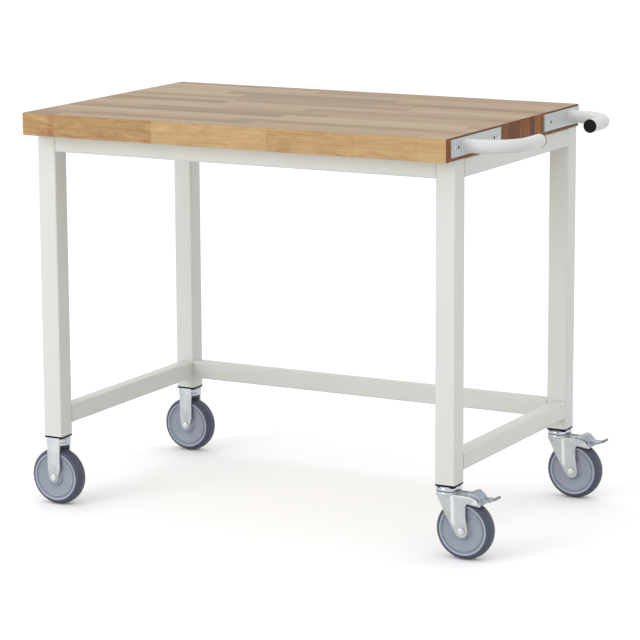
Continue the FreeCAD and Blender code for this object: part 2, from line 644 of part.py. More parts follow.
def make_wheel_core():
    """Return a wheel's hub and its bearing, drawn about the wheel's centre."""
    half = WHEEL_WIDTH / 2
    seat = TYRE_SEAT_WIDTH / 2
    ring_in = TYRE_FACE_RADIUS - HUB_RING_WIDTH
    groove_in = ring_in - HUB_GROOVE_WIDTH
    groove_y = half - HUB_GROOVE_DEPTH
    disc_y = half - HUB_DISC_RECESS
    bore = BEARING_RADIUS + RUNNING_GAP / 2
    upper = [
        (bore, HUB_HALF), (HUB_BOSS_RADIUS, HUB_HALF), (HUB_BOSS_RADIUS + HUB_BOSS_STANDOUT, disc_y),
        (groove_in, disc_y), (groove_in, groove_y), (ring_in, groove_y), (ring_in, half),
        (TYRE_FACE_RADIUS, half), (TYRE_FACE_RADIUS, seat), (TYRE_SEAT_RADIUS, seat),
    ]
    lower = [(radius, -y) for radius, y in reversed(upper)]
    hub = turned(upper + lower, Y_AXIS)
    bearing = rod(BEARING_RADIUS, (0, -HUB_HALF, 0), (0, HUB_HALF, 0))
    bearing = bearing.cut(rod(SLEEVE_RADIUS + RUNNING_GAP, (0, -HUB_HALF, 0), (0, HUB_HALF, 0)))
    return hub, bearing


def make_brake_pin():
    """Return the brake's pivot pin with a flat head at each end."""
    ends = FORK_OUTER + BRAKE_PIN_HEAD_HEIGHT
    pin = rod(BRAKE_PIN_RADIUS, (PIVOT_X, -ends, PIVOT_Z), (PIVOT_X, ends, PIVOT_Z))
    for side in (1, -1):
        seat = (PIVOT_X, side * FORK_OUTER, PIVOT_Z)
        pin = pin.fuse(rod(BRAKE_PIN_HEAD_RADIUS, seat, (PIVOT_X, side * ends, PIVOT_Z)))
    return pin.removeSplitter()


def pedal_outline(margin):
    """Return the pedal's side outline about its pivot, drawn in by a sheet's thickness."""
    return [
        (-PEDAL_TAIL_REACH + margin, PEDAL_TAIL_RISE - margin),
        (-PEDAL_CROWN_REAR, PEDAL_CROWN_RISE - margin),
        (-PEDAL_CROWN_FRONT, PEDAL_CROWN_RISE - margin),
        (-PEDAL_BROW_SETBACK - margin / 2, PEDAL_BROW_RISE - margin),
        (PEDAL_SHOULDER_REACH - margin / 2, PEDAL_SHOULDER_RISE - margin),
        (PEDAL_NOSE_REACH - 3 * margin, PEDAL_NOSE_RISE - margin),
        (PEDAL_HEEL_REACH, -PEDAL_HEEL_DROP + margin),
    ]


def pedal_shell(margin, half):
    """Return the pedal's outline as a solid with its crown and shoulder rounded."""
    outline = pedal_outline(margin)
    rounded = outline[1:5]
    solid = prism(outline, half)
    edges = []
    for edge in solid.Edges:
        middle = edge.BoundBox.Center
        at_corner = any(math.hypot(middle.x - x, middle.z - z) < FIT_GAP for x, z in rounded)
        if at_corner and edge.BoundBox.YLength > half:
            edges.append(edge)
    return solid.makeFillet(PEDAL_CROWN_RADIUS - margin, edges)


def pedal_plan(margin):
    """Return the pedal's plan, which steps in from the crown to the nose, drawn in by a margin."""
    wide = FORK_INNER - PEDAL_SIDE_GAP - margin
    slim = TAB_WIDTH / 2 - margin
    step = PEDAL_SHOULDER_REACH - margin / 2
    far = PEDAL_NOSE_REACH * 2
    near_side = [(-far, -wide), (step, -wide), (step + PEDAL_STEP, -slim), (far, -slim)]
    outline = near_side + [(x, -y) for x, y in reversed(near_side)]
    return plan(outline, -far, far)


def make_brake_pedal():
    """Return the pressed pedal: crown, nose and cheeks round the pin, with a tab for the toe."""
    half = FORK_INNER - PEDAL_SIDE_GAP
    eye = rod(PEDAL_EYE_RADIUS, (0, -half, 0), (0, half, 0))
    body = pedal_shell(0.0, half).fuse(eye).removeSplitter().common(pedal_plan(0.0))
    hollow = pedal_shell(PEDAL_SHEET, half - PEDAL_SHEET).common(pedal_plan(PEDAL_SHEET))
    mouth_reach = PEDAL_HEEL_REACH - PEDAL_SHEET
    mouth = prism([
        (-PEDAL_TAIL_REACH, -PEDAL_HEEL_DROP - PEDAL_SHEET), (mouth_reach, -PEDAL_HEEL_DROP - PEDAL_SHEET),
        (PEDAL_SHOULDER_REACH, PEDAL_SHOULDER_RISE - PEDAL_SHEET), (-PEDAL_CROWN_FRONT, PEDAL_SHOULDER_RISE),
        (-PEDAL_TAIL_REACH, PEDAL_TAIL_RISE - 2 * PEDAL_SHEET),
    ], half - PEDAL_SHEET)
    body = body.cut([hollow, mouth])
    tab_half = TAB_WIDTH / 2
    root = PEDAL_SHEET * 2
    tab = rounded_bar((-root, -tab_half, -TAB_THICKNESS), (TAB_LENGTH, tab_half, 0), Z_AXIS, root)
    tab.rotate(Vector(0, 0, 0), Y_AXIS, -TAB_SLOPE)
    pedal = body.fuse(moved(tab, PEDAL_NOSE_REACH - root / 2, 0, PEDAL_NOSE_RISE)).removeSplitter()
    pin_hole = rod(BRAKE_PIN_RADIUS + RUNNING_GAP, (0, -half, 0), (0, half, 0))
    return moved(pedal.cut(pin_hole), PIVOT_X, 0, PIVOT_Z)


def make_brake_shoe():
    """Return the brake block between the pedal's cheeks, shaped to lie on the tyre when pressed."""
    half = FORK_INNER - PEDAL_SIDE_GAP - PEDAL_SHEET
    reach = BRAKE_SHOE_REACH
    foot = PIVOT_Z - AXLE_Z
    block = box((PIVOT_X - reach, -half, PIVOT_Z - foot), (PIVOT_X + reach, half, PIVOT_Z + BRAKE_SHOE_RISE))
    pivot = Vector(PIVOT_X, 0, PIVOT_Z)
    swept = rod(WHEEL_RADIUS + BRAKE_SHOE_GAP, (SWIVEL_TRAIL, -half, AXLE_Z), (SWIVEL_TRAIL, half, AXLE_Z))
    swept.rotate(pivot, Y_AXIS, -BRAKE_TRAVEL)
    still = rod(WHEEL_RADIUS + BRAKE_SHOE_GAP, (SWIVEL_TRAIL, -half, AXLE_Z), (SWIVEL_TRAIL, half, AXLE_Z))
    pin_hole = rod(BRAKE_PIN_RADIUS + RUNNING_GAP, (PIVOT_X, -half, PIVOT_Z), (PIVOT_X, half, PIVOT_Z))
    pieces = block.cut([swept, still, pin_hole]).Solids
    return max(pieces, key=lambda solid: solid.CenterOfMass.z)


def make_castors():
    """Return every piece of the four castors, under its own name."""
    pieces = {}
    bolt, nut, sleeve = make_axle()
    hub, bearing = make_wheel_core()
    wheel = {"wheel_hub": hub, "tyre": make_tyre(), "wheel_bearing": bearing}
    axle = {"axle_bolt": bolt, "axle_nut": nut, "axle_sleeve": sleeve}
    fixed_fork = make_fixed_fork()
    swivel = {
        "swivel_head": make_swivel_head(),
        "swivel_fork": make_swivel_fork(),
        "swivel_balls": make_balls(),
        "brake_pin": make_brake_pin(),
        "brake_pedal": make_brake_pedal(),
        "brake_shoe": make_brake_shoe(),
    }
    for name, shape in axle.items():
        pair = [moved(shape, LEFT, y, AXLE_Z) for y in ROWS.values()]
        pieces[f"fixed_{name}s"] = Part.makeCompound(pair)
    for row, y in ROWS.items():
        pieces[f"fixed_fork_{row}"] = moved(fixed_fork, LEFT, y)
        for name, shape in swivel.items():
            pieces[f"{name}_{row}"] = moved(shape, RIGHT, y)
        for name, shape in axle.items():
            pieces[f"swivel_{name}_{row}"] = moved(shape, RIGHT + SWIVEL_TRAIL, y, AXLE_Z)
        for name, shape in wheel.items():
            pieces[f"{name}_{row}_left"] = moved(shape, LEFT, y, AXLE_Z)
            pieces[f"{name}_{row}_right"] = moved(shape, RIGHT + SWIVEL_TRAIL, y, AXLE_Z)
    return pieces


def build():
    """Return every piece of the bench by name, with the origin under the middle of the footprint."""
    pieces = make_legs()
    pieces.update(make_rails())
    brackets, fixing_screws, fixing_holes = make_fixings()
    handles, handle_screws, handle_holes = make_handles()
    caps, inserts, stem_bolts = make_leg_ends()
    pieces.update(handles)
    pieces.update(make_castors())
    pieces["worktop"] = make_worktop([fixing_holes, handle_holes])
    pieces["worktop_brackets"] = brackets
    pieces["worktop_screws"] = fixing_screws
    pieces["handle_screws"] = handle_screws
    pieces["leg_end_caps"] = caps
    pieces["leg_insert_plates"] = inserts
    pieces["castor_stem_bolts"] = stem_bolts
    low_x = LEFT - WHEEL_RADIUS
    high_x = END_X + HANDLE_REACH + HANDLE_TUBE_RADIUS + HANDLE_PLUG_LIP
    low_y = -EDGE_Y
    high_y = max(EDGE_Y, LEG_REAR_Y + FORK_OUTER + AXLE_NUT_HEIGHT)
    middle_x = (low_x + high_x) / 2
    middle_y = (low_y + high_y) / 2
    return {name: moved(shape, -middle_x, -middle_y) for name, shape in pieces.items()}


os.makedirs("parts", exist_ok=True)
for piece_name, piece_shape in build().items():
    piece_shape.exportStep(f"parts/{piece_name}.step")
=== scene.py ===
"""Looks of the mobile workbench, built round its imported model.

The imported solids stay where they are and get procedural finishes. Wheels, plugs, screw heads, nuts, races,
pressed sheet pieces and weld seams are rebuilt here with the finer shape that the solids leave out.
"""

import logging
from dataclasses import dataclass
from enum import StrEnum
from functools import cache
from math import cos, pi, radians, sin, sqrt
from typing import Sequence

import bmesh
import bpy
from mathutils import Matrix, Vector


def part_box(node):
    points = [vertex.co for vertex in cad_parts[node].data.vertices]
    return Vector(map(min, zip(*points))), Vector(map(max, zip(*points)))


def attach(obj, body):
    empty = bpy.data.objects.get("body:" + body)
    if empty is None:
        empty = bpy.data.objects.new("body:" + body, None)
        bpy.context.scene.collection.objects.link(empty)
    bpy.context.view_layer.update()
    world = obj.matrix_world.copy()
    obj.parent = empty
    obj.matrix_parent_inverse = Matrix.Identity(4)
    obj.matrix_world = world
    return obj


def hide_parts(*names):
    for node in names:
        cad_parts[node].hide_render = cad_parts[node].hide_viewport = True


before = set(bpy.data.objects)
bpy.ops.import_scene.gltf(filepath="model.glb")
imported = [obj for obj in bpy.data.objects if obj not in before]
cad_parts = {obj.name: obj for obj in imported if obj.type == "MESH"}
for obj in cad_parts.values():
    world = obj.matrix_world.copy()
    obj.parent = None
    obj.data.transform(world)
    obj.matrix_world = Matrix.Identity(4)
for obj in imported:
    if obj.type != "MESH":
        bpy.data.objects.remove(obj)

Colour = tuple[float, float, float, float]
Triple = tuple[float, float, float]
Profile = Sequence[Triple]
Outline = list[tuple[float, float]]
Stops = Sequence[tuple[float, float]]
Spot = tuple[Sequence[float], Sequence[float], float]
Socket = bpy.types.NodeSocket
Mesh = bpy.types.Mesh
Solid = bmesh.types.BMesh

LOG = logging.getLogger("workbench")
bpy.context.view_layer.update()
MM = 0.001
SAME_POINT = 2e-6
WELD_PITCH = 1.9 * MM
NUT_FLATS, NUT_HEIGHT, NUT_BORE = 15.0 * MM, 5.0 * MM, 5.0 * MM
NUT_TURN = 0.4

# The rib pressed into each cheek of a swivel fork, in mm: top level, start behind the fork's front, length,
# lean, height, half width, and the depth of its root in the cheek
RIB_TOP, RIB_START, RIB_LENGTH, RIB_LEAN = 134.6, 43.5, 60.0, 3.0
RIB_HEIGHT, RIB_HALF, RIB_ROOT = 2.3, 7.0, 0.6
RIB_STEPS = 14
# The leaning front edge of that cheek, in mm: a point on it, its slope, and the least that it stands back
EDGE_X, EDGE_Z, EDGE_SLOPE, EDGE_LEAST = 29.3, 92.5, 0.65, 6.5
# The outside of that cheek, in mm: half the fork's width, where it starts to taper, and the taper
CHEEK_HALF, TAPER_START, TAPER = 22.46, 42.5, 3.0 / 37.0

# Turned sections, each point as (radius, height, corner radius), in mm
TYRE_HALF: Profile = (
    (62.5, 0, 0), (62.3, 4.5, 3.0), (61.1, 10.5, 3.0), (57.4, 15.2, 3.0), (53.2, 16.9, 0.5),
    (53.05, 12.1, 0.2), (47.1, 12.05, 0))
HUB_HALF: Profile = (
    (47.0, 0, 0), (47.0, 12.08, 0), (48.2, 12.1, 0), (48.2, 13.1, 0), (45.2, 13.0, 0.7),
    (44.4, 15.1, 0.9), (43.0, 15.1, 0.9), (42.0, 14.4, 0.8), (26.0, 12.4, 5.0), (19.4, 13.4, 2.0),
    (17.2, 18.3, 0.8), (12.1, 18.4, 0.4), (12.1, 0, 0))
HUB_BEAD: Profile = (
    (48.25, 12.15, 0), (52.95, 12.15, 0), (52.95, 16.6, 1.0), (51.6, 17.2, 1.2), (49.6, 16.9, 1.2),
    (48.5, 15.6, 0.8), (48.25, 13.4, 0))
FIXED_HEAD: Profile = (
    (23.4, -16.6, 0), (24.6, -16.6, 0.6), (26.7, -15.0, 1.8), (26.7, -12.0, 1.8), (25.2, -10.5, 0.5),
    (26.7, -8.6, 1.8), (26.7, -3.0, 2.4), (24.4, -0.6, 0.8), (23.4, -0.6, 0))
UPPER_RACE: Profile = (
    (6.2, -22.2, 0), (12.9, -22.2, 0.6), (12.9, -19.4, 0.5), (9.4, -19.3, 0.4), (9.4, -9.9, 0),
    (25.0, -9.9, 1.0), (26.5, -7.6, 2.2), (26.5, -3.2, 2.4), (24.6, -1.2, 1.0), (23.8, 0, 0.5),
    (6.2, 0, 0))
LOWER_RACE: Profile = (
    (23.0, -16.3, 0), (24.4, -16.4, 0.6), (26.7, -14.9, 1.8), (26.7, -12.0, 1.8), (24.8, -10.42, 0.6),
    (23.0, -10.42, 0))
# A black cup for each spare hole, standing in for the hole's shade: painted shade
SPARE_HOLE_SHADE_CUP: Profile = (
    (0, -3.2, 0), (3.25, -3.2, 0), (3.25, -0.25, 0.3), (2.7, -0.25, 0.3), (2.4, -2.6, 0.4),
    (0, -2.7, 0))


def tone(*display: int) -> Colour:
    """Turn a display colour into the linear colour that shaders use.

    Args:
        display: Red, green and blue, 0 to 255.

    Returns:
        Linear red, green, blue and an alpha of one.
    """
    shares = [value / 255 for value in display]
    red, green, blue = (s / 12.92 if s <= 0.04045 else ((s + 0.055) / 1.055) ** 2.4 for s in shares)
    return (red, green, blue, 1.0)


class Row(StrEnum):
    """The two rows of legs, front and rear."""

    FRONT = "front"
    REAR = "rear"


class Side(StrEnum):
    """The two ends of the bench: fixed castors on the left, swivel castors on the right."""

    LEFT = "left"
    RIGHT = "right"


class Graph:
    """Short-hand for the shader nodes of a material or a world."""

    def __init__(self, owner: bpy.types.Material | bpy.types.World, shader: str = "Principled BSDF",
                 place: str = "Object") -> None:
        owner.use_nodes = True
        self.owner = owner
        self.tree = owner.node_tree
        self.shader = self.tree.nodes[shader]
        self.place = self.make("TexCoord", {}, place)

    def feed(self, socket: Socket, value: object) -> None:
        """Link a socket to another one, or set its value.

        Args:
            socket: The input socket.
            value: An output socket, or a plain value.
        """
        if isinstance(value, Socket):
            self.tree.links.new(value, socket)
        else:
            socket.default_value = value

    def make(self, kind: str, feeds: dict[int | str, object], out: int | str = 0,
             **settings: object) -> Socket:
        """Add a node.

        Args:
            kind: The node's type name after ShaderNode.
            feeds: Its inputs, each with a value or a socket.
            out: The output that is wanted.
            settings: Properties to set on it.

        Returns:
            The output's socket.
        """
        node = self.tree.nodes.new(f"ShaderNode{kind}")
        for key, value in settings.items():
            setattr(node, key, value)
        for key, value in feeds.items():
            self.feed(node.inputs[key], value)
        return node.outputs[out]

    def math(self, operation: str, first: object, second: object = 0.0) -> Socket:
        """Combine two numbers.

        Args:
            operation: The math node's operation.
            first: First number or socket.
            second: Second number or socket.

        Returns:
            The result's socket.
        """
        return self.make("Math", {0: first, 1: second}, operation=operation)

    def weigh(self, *terms: tuple[Socket, float]) -> Socket:
        """Add two numbers, each times its weight.

        Args:
            terms: Each number with its weight.

        Returns:
            The sum's socket.
        """
        return self.math("ADD", *(self.math("MULTIPLY", *term) for term in terms))

    def apart(self, value: Socket, other: object) -> Socket:
        """Find how far a number is from another one, either way.

        Args:
            value: The number.
            other: The other number.

        Returns:
            The distance's socket.
        """
        return self.math("ABSOLUTE", self.math("SUBTRACT", value, other))

    def axes(self) -> Sequence[Socket]:
        """Split the coordinates.

        Returns:
            The sockets for X, Y and Z.
        """
        return self.make("SeparateXYZ", {0: self.place}).node.outputs

    def vector(self, *parts: object) -> Socket:
        """Join three numbers into a vector.

        Args:
            parts: X, Y and Z, each a number or a socket.

        Returns:
            The vector's socket.
        """
        return self.make("CombineXYZ", dict(enumerate(parts)))

    def noise(self, stretch: Triple, detail: float, warp: float = 0.0, shift: Socket | None = None) -> Socket:
        """Make noise with its own scale along each axis.

        Args:
            stretch: Features per metre along X, Y and Z.
            detail: Octaves of detail.
            warp: Distortion.
            shift: A vector that moves the pattern, if any.

        Returns:
            The noise value's socket, about 0 to 1.
        """
        where = self.make("VectorMath", {0: self.place, 1: stretch}, operation="MULTIPLY")
        if shift is not None:
            where = self.make("VectorMath", {0: where, 1: shift}, operation="ADD")
        feeds = {"Vector": where, "Scale": 1.0, "Detail": detail, "Distortion": warp}
        return self.make("TexNoise", feeds)

    def ramp(self, value: Socket, stops: Sequence[tuple[float, Colour]]) -> Socket:
        """Map a value to colours.

        Args:
            value: The value.
            stops: Positions with their colours, in order.

        Returns:
            The colour's socket.
        """
        found = self.make("ValToRGB", {0: value})
        elements = found.node.color_ramp.elements
        while len(elements) < len(stops):
            elements.new(0.5)
        for element, (position, colour) in zip(elements, stops):
            element.position = position
            element.color = colour
        return found

    def band(self, value: Socket, low: float, high: float, start: float = 0.0, end: float = 1.0) -> Socket:
        """Map a range of values to another range, clamped.

        Args:
            value: The value.
            low: Value that gives start.
            high: Value that gives end.
            start: Result at low.
            end: Result at high.

        Returns:
            The result's socket.
        """
        return self.make("MapRange", dict(enumerate((value, low, high, start, end))))

    def mix(self, share: object, first: object, second: object, blend: str = "MIX") -> Socket:
        """Mix two colours.

        Args:
            share: How much of the second.
            first: First colour or socket.
            second: Second colour or socket.
            blend: The blend mode.

        Returns:
            The colour's socket.
        """
        feeds = {0: share, 6: first, 7: second}
        return self.make("Mix", feeds, 2, data_type="RGBA", blend_type=blend)

    def shaded(self, colour: object, share: Socket, cool: float = 1.0) -> Socket:
        """Make a colour darker or lighter.

        Args:
            colour: The colour or its socket.
            share: The factor.
            cool: A further factor on blue.

        Returns:
            The colour's socket.
        """
        blue = share if cool == 1.0 else self.math("MULTIPLY", share, cool)
        return self.mix(1.0, colour, self.vector(share, share, blue), "MULTIPLY")

    def bump(self, height: Socket, depth: float, strength: float) -> None:
        """Bend the shading by a height.

        Args:
            height: The height, about 0 to 1.
            depth: The real depth, in metres.
            strength: How strongly it shows.
        """
        feeds = {"Strength": strength, "Distance": depth, "Height": height}
        self.set(Normal=self.make("Bump", feeds))

    def set(self, **values: object) -> None:
        """Set or link inputs of the surface shader.

        Args:
            values: Input names, with underscores for spaces.
        """
        for key, value in values.items():
            self.feed(self.shader.inputs[key.replace("_", " ")], value)


@dataclass(frozen=True)
class Finish:
    """A finish of the bench, which sets up its own material."""

    name: str

    def paint(self, graph: Graph) -> None:
        """Set up the material's nodes.

        Args:
            graph: The nodes.
        """
        raise NotImplementedError


@cache
def material_of(finish: Finish) -> bpy.types.Material:
    """Find a finish's material, which is made when it is first asked for.

    Args:
        finish: The finish.

    Returns:
        Its material.
    """
    graph = Graph(bpy.data.materials.new(finish.name))
    finish.paint(graph)
    return graph.owner


@dataclass(frozen=True)
class Beech(Finish):
    """Oiled beech board of finger-jointed staves, dark on the end grain, with greyer, darker tones on the top
    that stand in for the light and sheen on it: painted sheen and shade.
    """

    name: str = "beech"
    stave: float = 0.0415
    block: float = 0.43
    offset: float = 7.0
    # The top's own tones, greyer and darker than the edges': painted sheen and shade
    top: tuple[Colour, ...] = (tone(136, 109, 81), tone(161, 136, 106), tone(179, 158, 126))
    edge: tuple[Colour, ...] = (tone(177, 128, 80), tone(207, 168, 115), tone(222, 186, 131))
    end: tuple[Colour, ...] = (tone(70, 36, 16), tone(122, 73, 38), tone(168, 110, 63))
    glue: Colour = tone(92, 70, 50)
    front_blocks: Stops = (
        (0.0, 0.44), (0.06, 0.2), (0.317, 0.8), (0.59, 0.36), (0.67, 0.56), (0.793, 0.76), (0.94, 0.68))
    end_bands: Stops = (
        (0.0, 0.5), (0.455, 0.3), (0.53, 0.52), (0.61, 0.12), (0.645, 0.85), (0.745, 0.4))

    def paint(self, graph: Graph) -> None:
        """Set up the nodes of graph, as in Finish."""
        low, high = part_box("worktop")
        x, y, z = graph.axes()
        # The stave that a point is in, and its block along that stave
        across = graph.math("DIVIDE", graph.math("SUBTRACT", y, low[1]), self.stave)
        row = graph.math("FLOOR", across)
        jitter = graph.make("TexWhiteNoise", {"W": row}, noise_dimensions="1D")
        start = graph.math("MULTIPLY", jitter, self.offset)
        along = graph.math("ADD", graph.math("DIVIDE", x, self.block), start)
        spot = graph.vector(graph.math("FLOOR", along), row, 0.0)
        luck = graph.make("TexWhiteNoise", {"Vector": spot}, noise_dimensions="2D")
        # The wood's lines, different in each block
        shift = graph.vector(graph.math("MULTIPLY", luck, 37.0), graph.math("MULTIPLY", luck, 91.0), 0.0)
        grain = graph.noise((2.2, 95.0, 70.0), 4.0, 0.35, shift)
        rings = graph.noise((3.0, 170.0, 16.0), 3.0, 0.6, shift)
        curl = graph.noise((15.0, 50.0, 55.0), 3.5, 1.2, shift)
        fine = graph.noise((9.0, 520.0, 420.0), 3.0, 0.1, shift)
        fleck = graph.noise((85.0, 1050.0, 900.0), 1.0, 0.0, shift)
        figure = graph.weigh((grain, 0.4), (curl, 0.6))
        # The colours of the top, the long edges and the ends; the top's greyer, darker tones are painted
        # sheen and shade
        blocks = []
        for axis, place, stops in ((0, x, self.front_blocks), (1, y, self.end_bands)):
            greys = [(start, (share, share, share, 1.0)) for start, share in stops]
            blocks.append(graph.ramp(graph.band(place, low[axis], high[axis]), greys))
            blocks[axis].node.color_ramp.interpolation = "CONSTANT"
        faces = []
        for share, lines, weight, tones in (
                (luck, grain, 0.5, self.top),
                (graph.weigh((luck, 0.15), (blocks[0], 0.85)), figure, 1.7, self.edge),
                (graph.weigh((luck, 0.2), (blocks[1], 0.8)), rings, 0.75, self.end)):
            swing = graph.math("MULTIPLY", graph.math("SUBTRACT", lines, 0.5), weight)
            value = graph.math("ADD", graph.math("MULTIPLY", share, 0.66), graph.math("ADD", swing, 0.17))
            faces.append(graph.ramp(value, tuple(zip((0.12, 0.5, 0.88), tones))))
        # Painted sheen and shade: the top's own tones take over near its upper face
        painted_top_sheen_mask = graph.band(z, high[2] - 0.9 * MM, high[2] - 0.2 * MM)
        reach = (high[0] - low[0]) / 2
        off_middle = graph.apart(x, (low[0] + high[0]) / 2)
        at_end = graph.band(off_middle, reach - 0.8 * MM, reach - 0.2 * MM)
        colour = graph.mix(at_end, graph.mix(painted_top_sheen_mask, faces[1], faces[0]), faces[2])
        # Streaks, pores and the glued seams
        colour = graph.shaded(colour, graph.band(fine, 0.32, 0.62, 0.88, 1.06))
        colour = graph.shaded(colour, graph.band(fleck, 0.60, 0.70, 1.0, 0.80))
        seam_y = graph.band(graph.apart(graph.math("FRACT", across), 0.5), 0.488, 0.5)
        seam_x = graph.band(graph.apart(graph.math("FRACT", along), 0.5), 0.4988, 0.5)
        groove = graph.math("MAXIMUM", seam_y, seam_x)
        colour = graph.mix(graph.math("MULTIPLY", groove, 0.32), colour, self.glue)
        graph.set(Base_Color=colour, Roughness=graph.band(grain, 0.3, 0.7, 0.40, 0.52), IOR=1.46,
                  Specular_IOR_Level=graph.band(at_end, 0.0, 1.0, 0.28, 0.16))
        graph.bump(graph.weigh((fine, 0.6), (groove, -0.5)), 0.3 * MM, 0.35)


@dataclass(frozen=True)
class PowderCoat(Finish):
    """Satin powder coat with a faint orange-peel skin."""

    colour: Colour
    rough: float = 0.42
    dust: Colour = tone(150, 148, 142)

    def paint(self, graph: Graph) -> None:
        """Set up the nodes of graph, as in Finish."""
        cloud = graph.noise((5.0, 5.0, 5.0), 2.0)
        peel = graph.noise((420.0, 420.0, 420.0), 2.0)
        dust = graph.noise((60.0, 60.0, 60.0), 4.0)
        colour = graph.shaded(self.colour, graph.band(cloud, 0.3, 0.7, 0.975, 1.015))
        colour = graph.mix(graph.band(dust, 0.66, 0.78, 0.0, 0.06), colour, self.dust)
        rough = graph.band(dust, 0.3, 0.7, self.rough - 0.05, self.rough + 0.06)
        graph.set(Base_Color=colour, Roughness=rough)
        graph.bump(peel, 0.06 * MM, 0.3)


@dataclass(frozen=True)
class Plated(Finish):
    """Zinc-plated or polished steel with cloudy patches and fine drawing lines, and where given a painted
    highlight along a fork rib's crest.
    """

    colour: Colour
    rough: float = 0.32
    metal: float = 1.0
    relief: float = 0.25
    # Colour of the painted highlight along a rib's crest, if any
    rubbed: Colour | None = None

    def paint(self, graph: Graph) -> None:
        """Set up the nodes of graph, as in Finish."""
        cloud = graph.noise((55.0, 55.0, 55.0), 4.0, 0.6)
        drawn = graph.noise((40.0, 40.0, 900.0), 2.0)
        pit = graph.noise((700.0, 700.0, 700.0), 2.0)
        colour = graph.shaded(self.colour, graph.band(cloud, 0.28, 0.72, 0.88, 1.07), 1.004)
        if self.rubbed is not None:
            # Painted highlight: a lighter colour along the crest of a swivel fork's rib
            x, _, z = graph.axes()
            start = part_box("swivel_fork_front")[0][0] + RIB_START * MM
            drop = graph.math("SUBTRACT", RIB_TOP * MM, z)
            lean = graph.math("MULTIPLY", drop, RIB_LEAN / RIB_LENGTH)
            away = graph.apart(graph.math("SUBTRACT", x, start), lean)
            colour = graph.mix(graph.band(away, 0.6 * MM, 6.4 * MM, 1.0, 0.0), colour, self.rubbed)
        rough = graph.math("ADD", graph.band(cloud, 0.3, 0.7, self.rough - 0.06, self.rough + 0.08),
                           graph.band(drawn, 0.3, 0.7, -0.03, 0.03))
        graph.set(Base_Color=colour, Metallic=self.metal, Roughness=rough)
        graph.bump(graph.weigh((drawn, 0.6), (pit, 0.4)), 0.05 * MM, self.relief)


@dataclass(frozen=True)
class Moulded(Finish):
    """Moulded plastic or rubber with a fine grain and a little dust."""

    colour: Colour
    pale: Colour
    rough: float = 0.5
    gloss: float = 0.5

    def paint(self, graph: Graph) -> None:
        """Set up the nodes of graph, as in Finish."""
        cloud = graph.noise((38.0, 38.0, 38.0), 4.0, 0.3)
        skin = graph.noise((900.0, 900.0, 900.0), 2.0)
        colour = graph.mix(graph.band(cloud, 0.42, 0.75, 0.0, 0.55), self.colour, self.pale)
        colour = graph.shaded(colour, graph.band(skin, 0.3, 0.7, 0.94, 1.05))
        rough = graph.band(cloud, 0.3, 0.7, self.rough - 0.05, self.rough + 0.1)
        graph.set(Base_Color=colour, Roughness=rough, Specular_IOR_Level=self.gloss)
        graph.bump(skin, 0.06 * MM, 0.4)


WOOD = Beech()
FRAME_PAINT = PowderCoat("frame_paint", tone(211, 213, 208))
HANDLE_PAINT = PowderCoat("handle_paint", tone(211, 213, 210), 0.36)
PLATE_PAINT = PowderCoat("plate_paint", tone(190, 194, 194), 0.34)
ZINC = Plated("castor_zinc", tone(186, 191, 192), 0.46, 0.75)
# Zinc with a painted highlight along the crest of each fork rib
ZINC_PAINTED_HIGHLIGHT = Plated("zinc_painted_highlight", tone(186, 191, 192), 0.46, 0.75, rubbed=tone(226, 230, 231))
POLISHED = Plated("polished_race", tone(196, 201, 209), 0.13, relief=0.05)
PEDAL_ZINC = Plated("pedal_zinc", tone(154, 161, 171), 0.17)
BRIGHT = Plated("bright_steel", tone(208, 211, 213), 0.24, relief=0.08)
TYRE_RUBBER = Moulded("tyre_rubber", tone(66, 71, 87), tone(82, 87, 102))
HUB_PLASTIC = Moulded("hub_plastic", tone(142, 148, 163), tone(154, 160, 174), 0.4)
# Lighter than the hub plastic: a painted highlight on the bead round the hub
HUB_BEAD_HIGHLIGHT = Moulded("hub_bead_painted_highlight", tone(160, 167, 183), tone(170, 176, 191), 0.32)
BLACK = Moulded("black_plastic", tone(13, 13, 14), tone(26, 26, 27), gloss=0.16)
SHOE_RUBBER = Moulded("shoe_rubber", tone(52, 53, 56), tone(72, 73, 76), 0.6)
SLEEVE = Moulded("sleeve_grey", tone(128, 127, 131), tone(140, 139, 142), 0.45)
BEARING = Moulded("bearing_plastic", tone(196, 196, 190), tone(206, 206, 200), 0.4)


def put(name: str, data: bpy.types.ID) -> bpy.types.Object:
    """Add an object to the scene.

    Args:
        name: The object's name.
        data: Its mesh, light or camera.

    Returns:
        The new object.
    """
    made = bpy.data.objects.new(name, data)
    bpy.context.scene.collection.objects.link(made)
    return made


def discard(helper: bpy.types.Object) -> None:
    """Remove a helper object and its mesh.

    Args:
        helper: The helper object.
    """
    old = helper.data
    bpy.data.objects.remove(helper)
    bpy.data.meshes.remove(old)


def piece(name: str, mesh: Mesh, finish: Finish, body: str, nodes: Sequence[str] = ()) -> None:
    """Make a finished piece from a mesh that is already in place.

    Args:
        name: The piece's name.
        mesh: Its mesh, in the bench's frame.
        finish: Its finish.
        body: The body that it rides on.
        nodes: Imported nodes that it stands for.
    """
    mesh.name = name
    mesh.materials.clear()
    mesh.materials.append(material_of(finish))
    made = put(name, mesh)
    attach(made, body)
    if nodes:
        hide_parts(*nodes)


def dress(finish: Finish, *nodes: str) -> None:
    """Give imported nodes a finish.

    Args:
        finish: The finish.
        nodes: The nodes' names.
    """
    for name in nodes:
        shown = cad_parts[name]
        shown.data.materials.clear()
        shown.data.materials.append(material_of(finish))


def span(node: str) -> tuple[Vector, Vector, Vector]:
    """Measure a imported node.

    Args:
        node: The node's name.

    Returns:
        Its lowest corner, its highest corner and its middle.
    """
    low, high = (Vector(corner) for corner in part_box(node))
    return low, high, (low + high) / 2


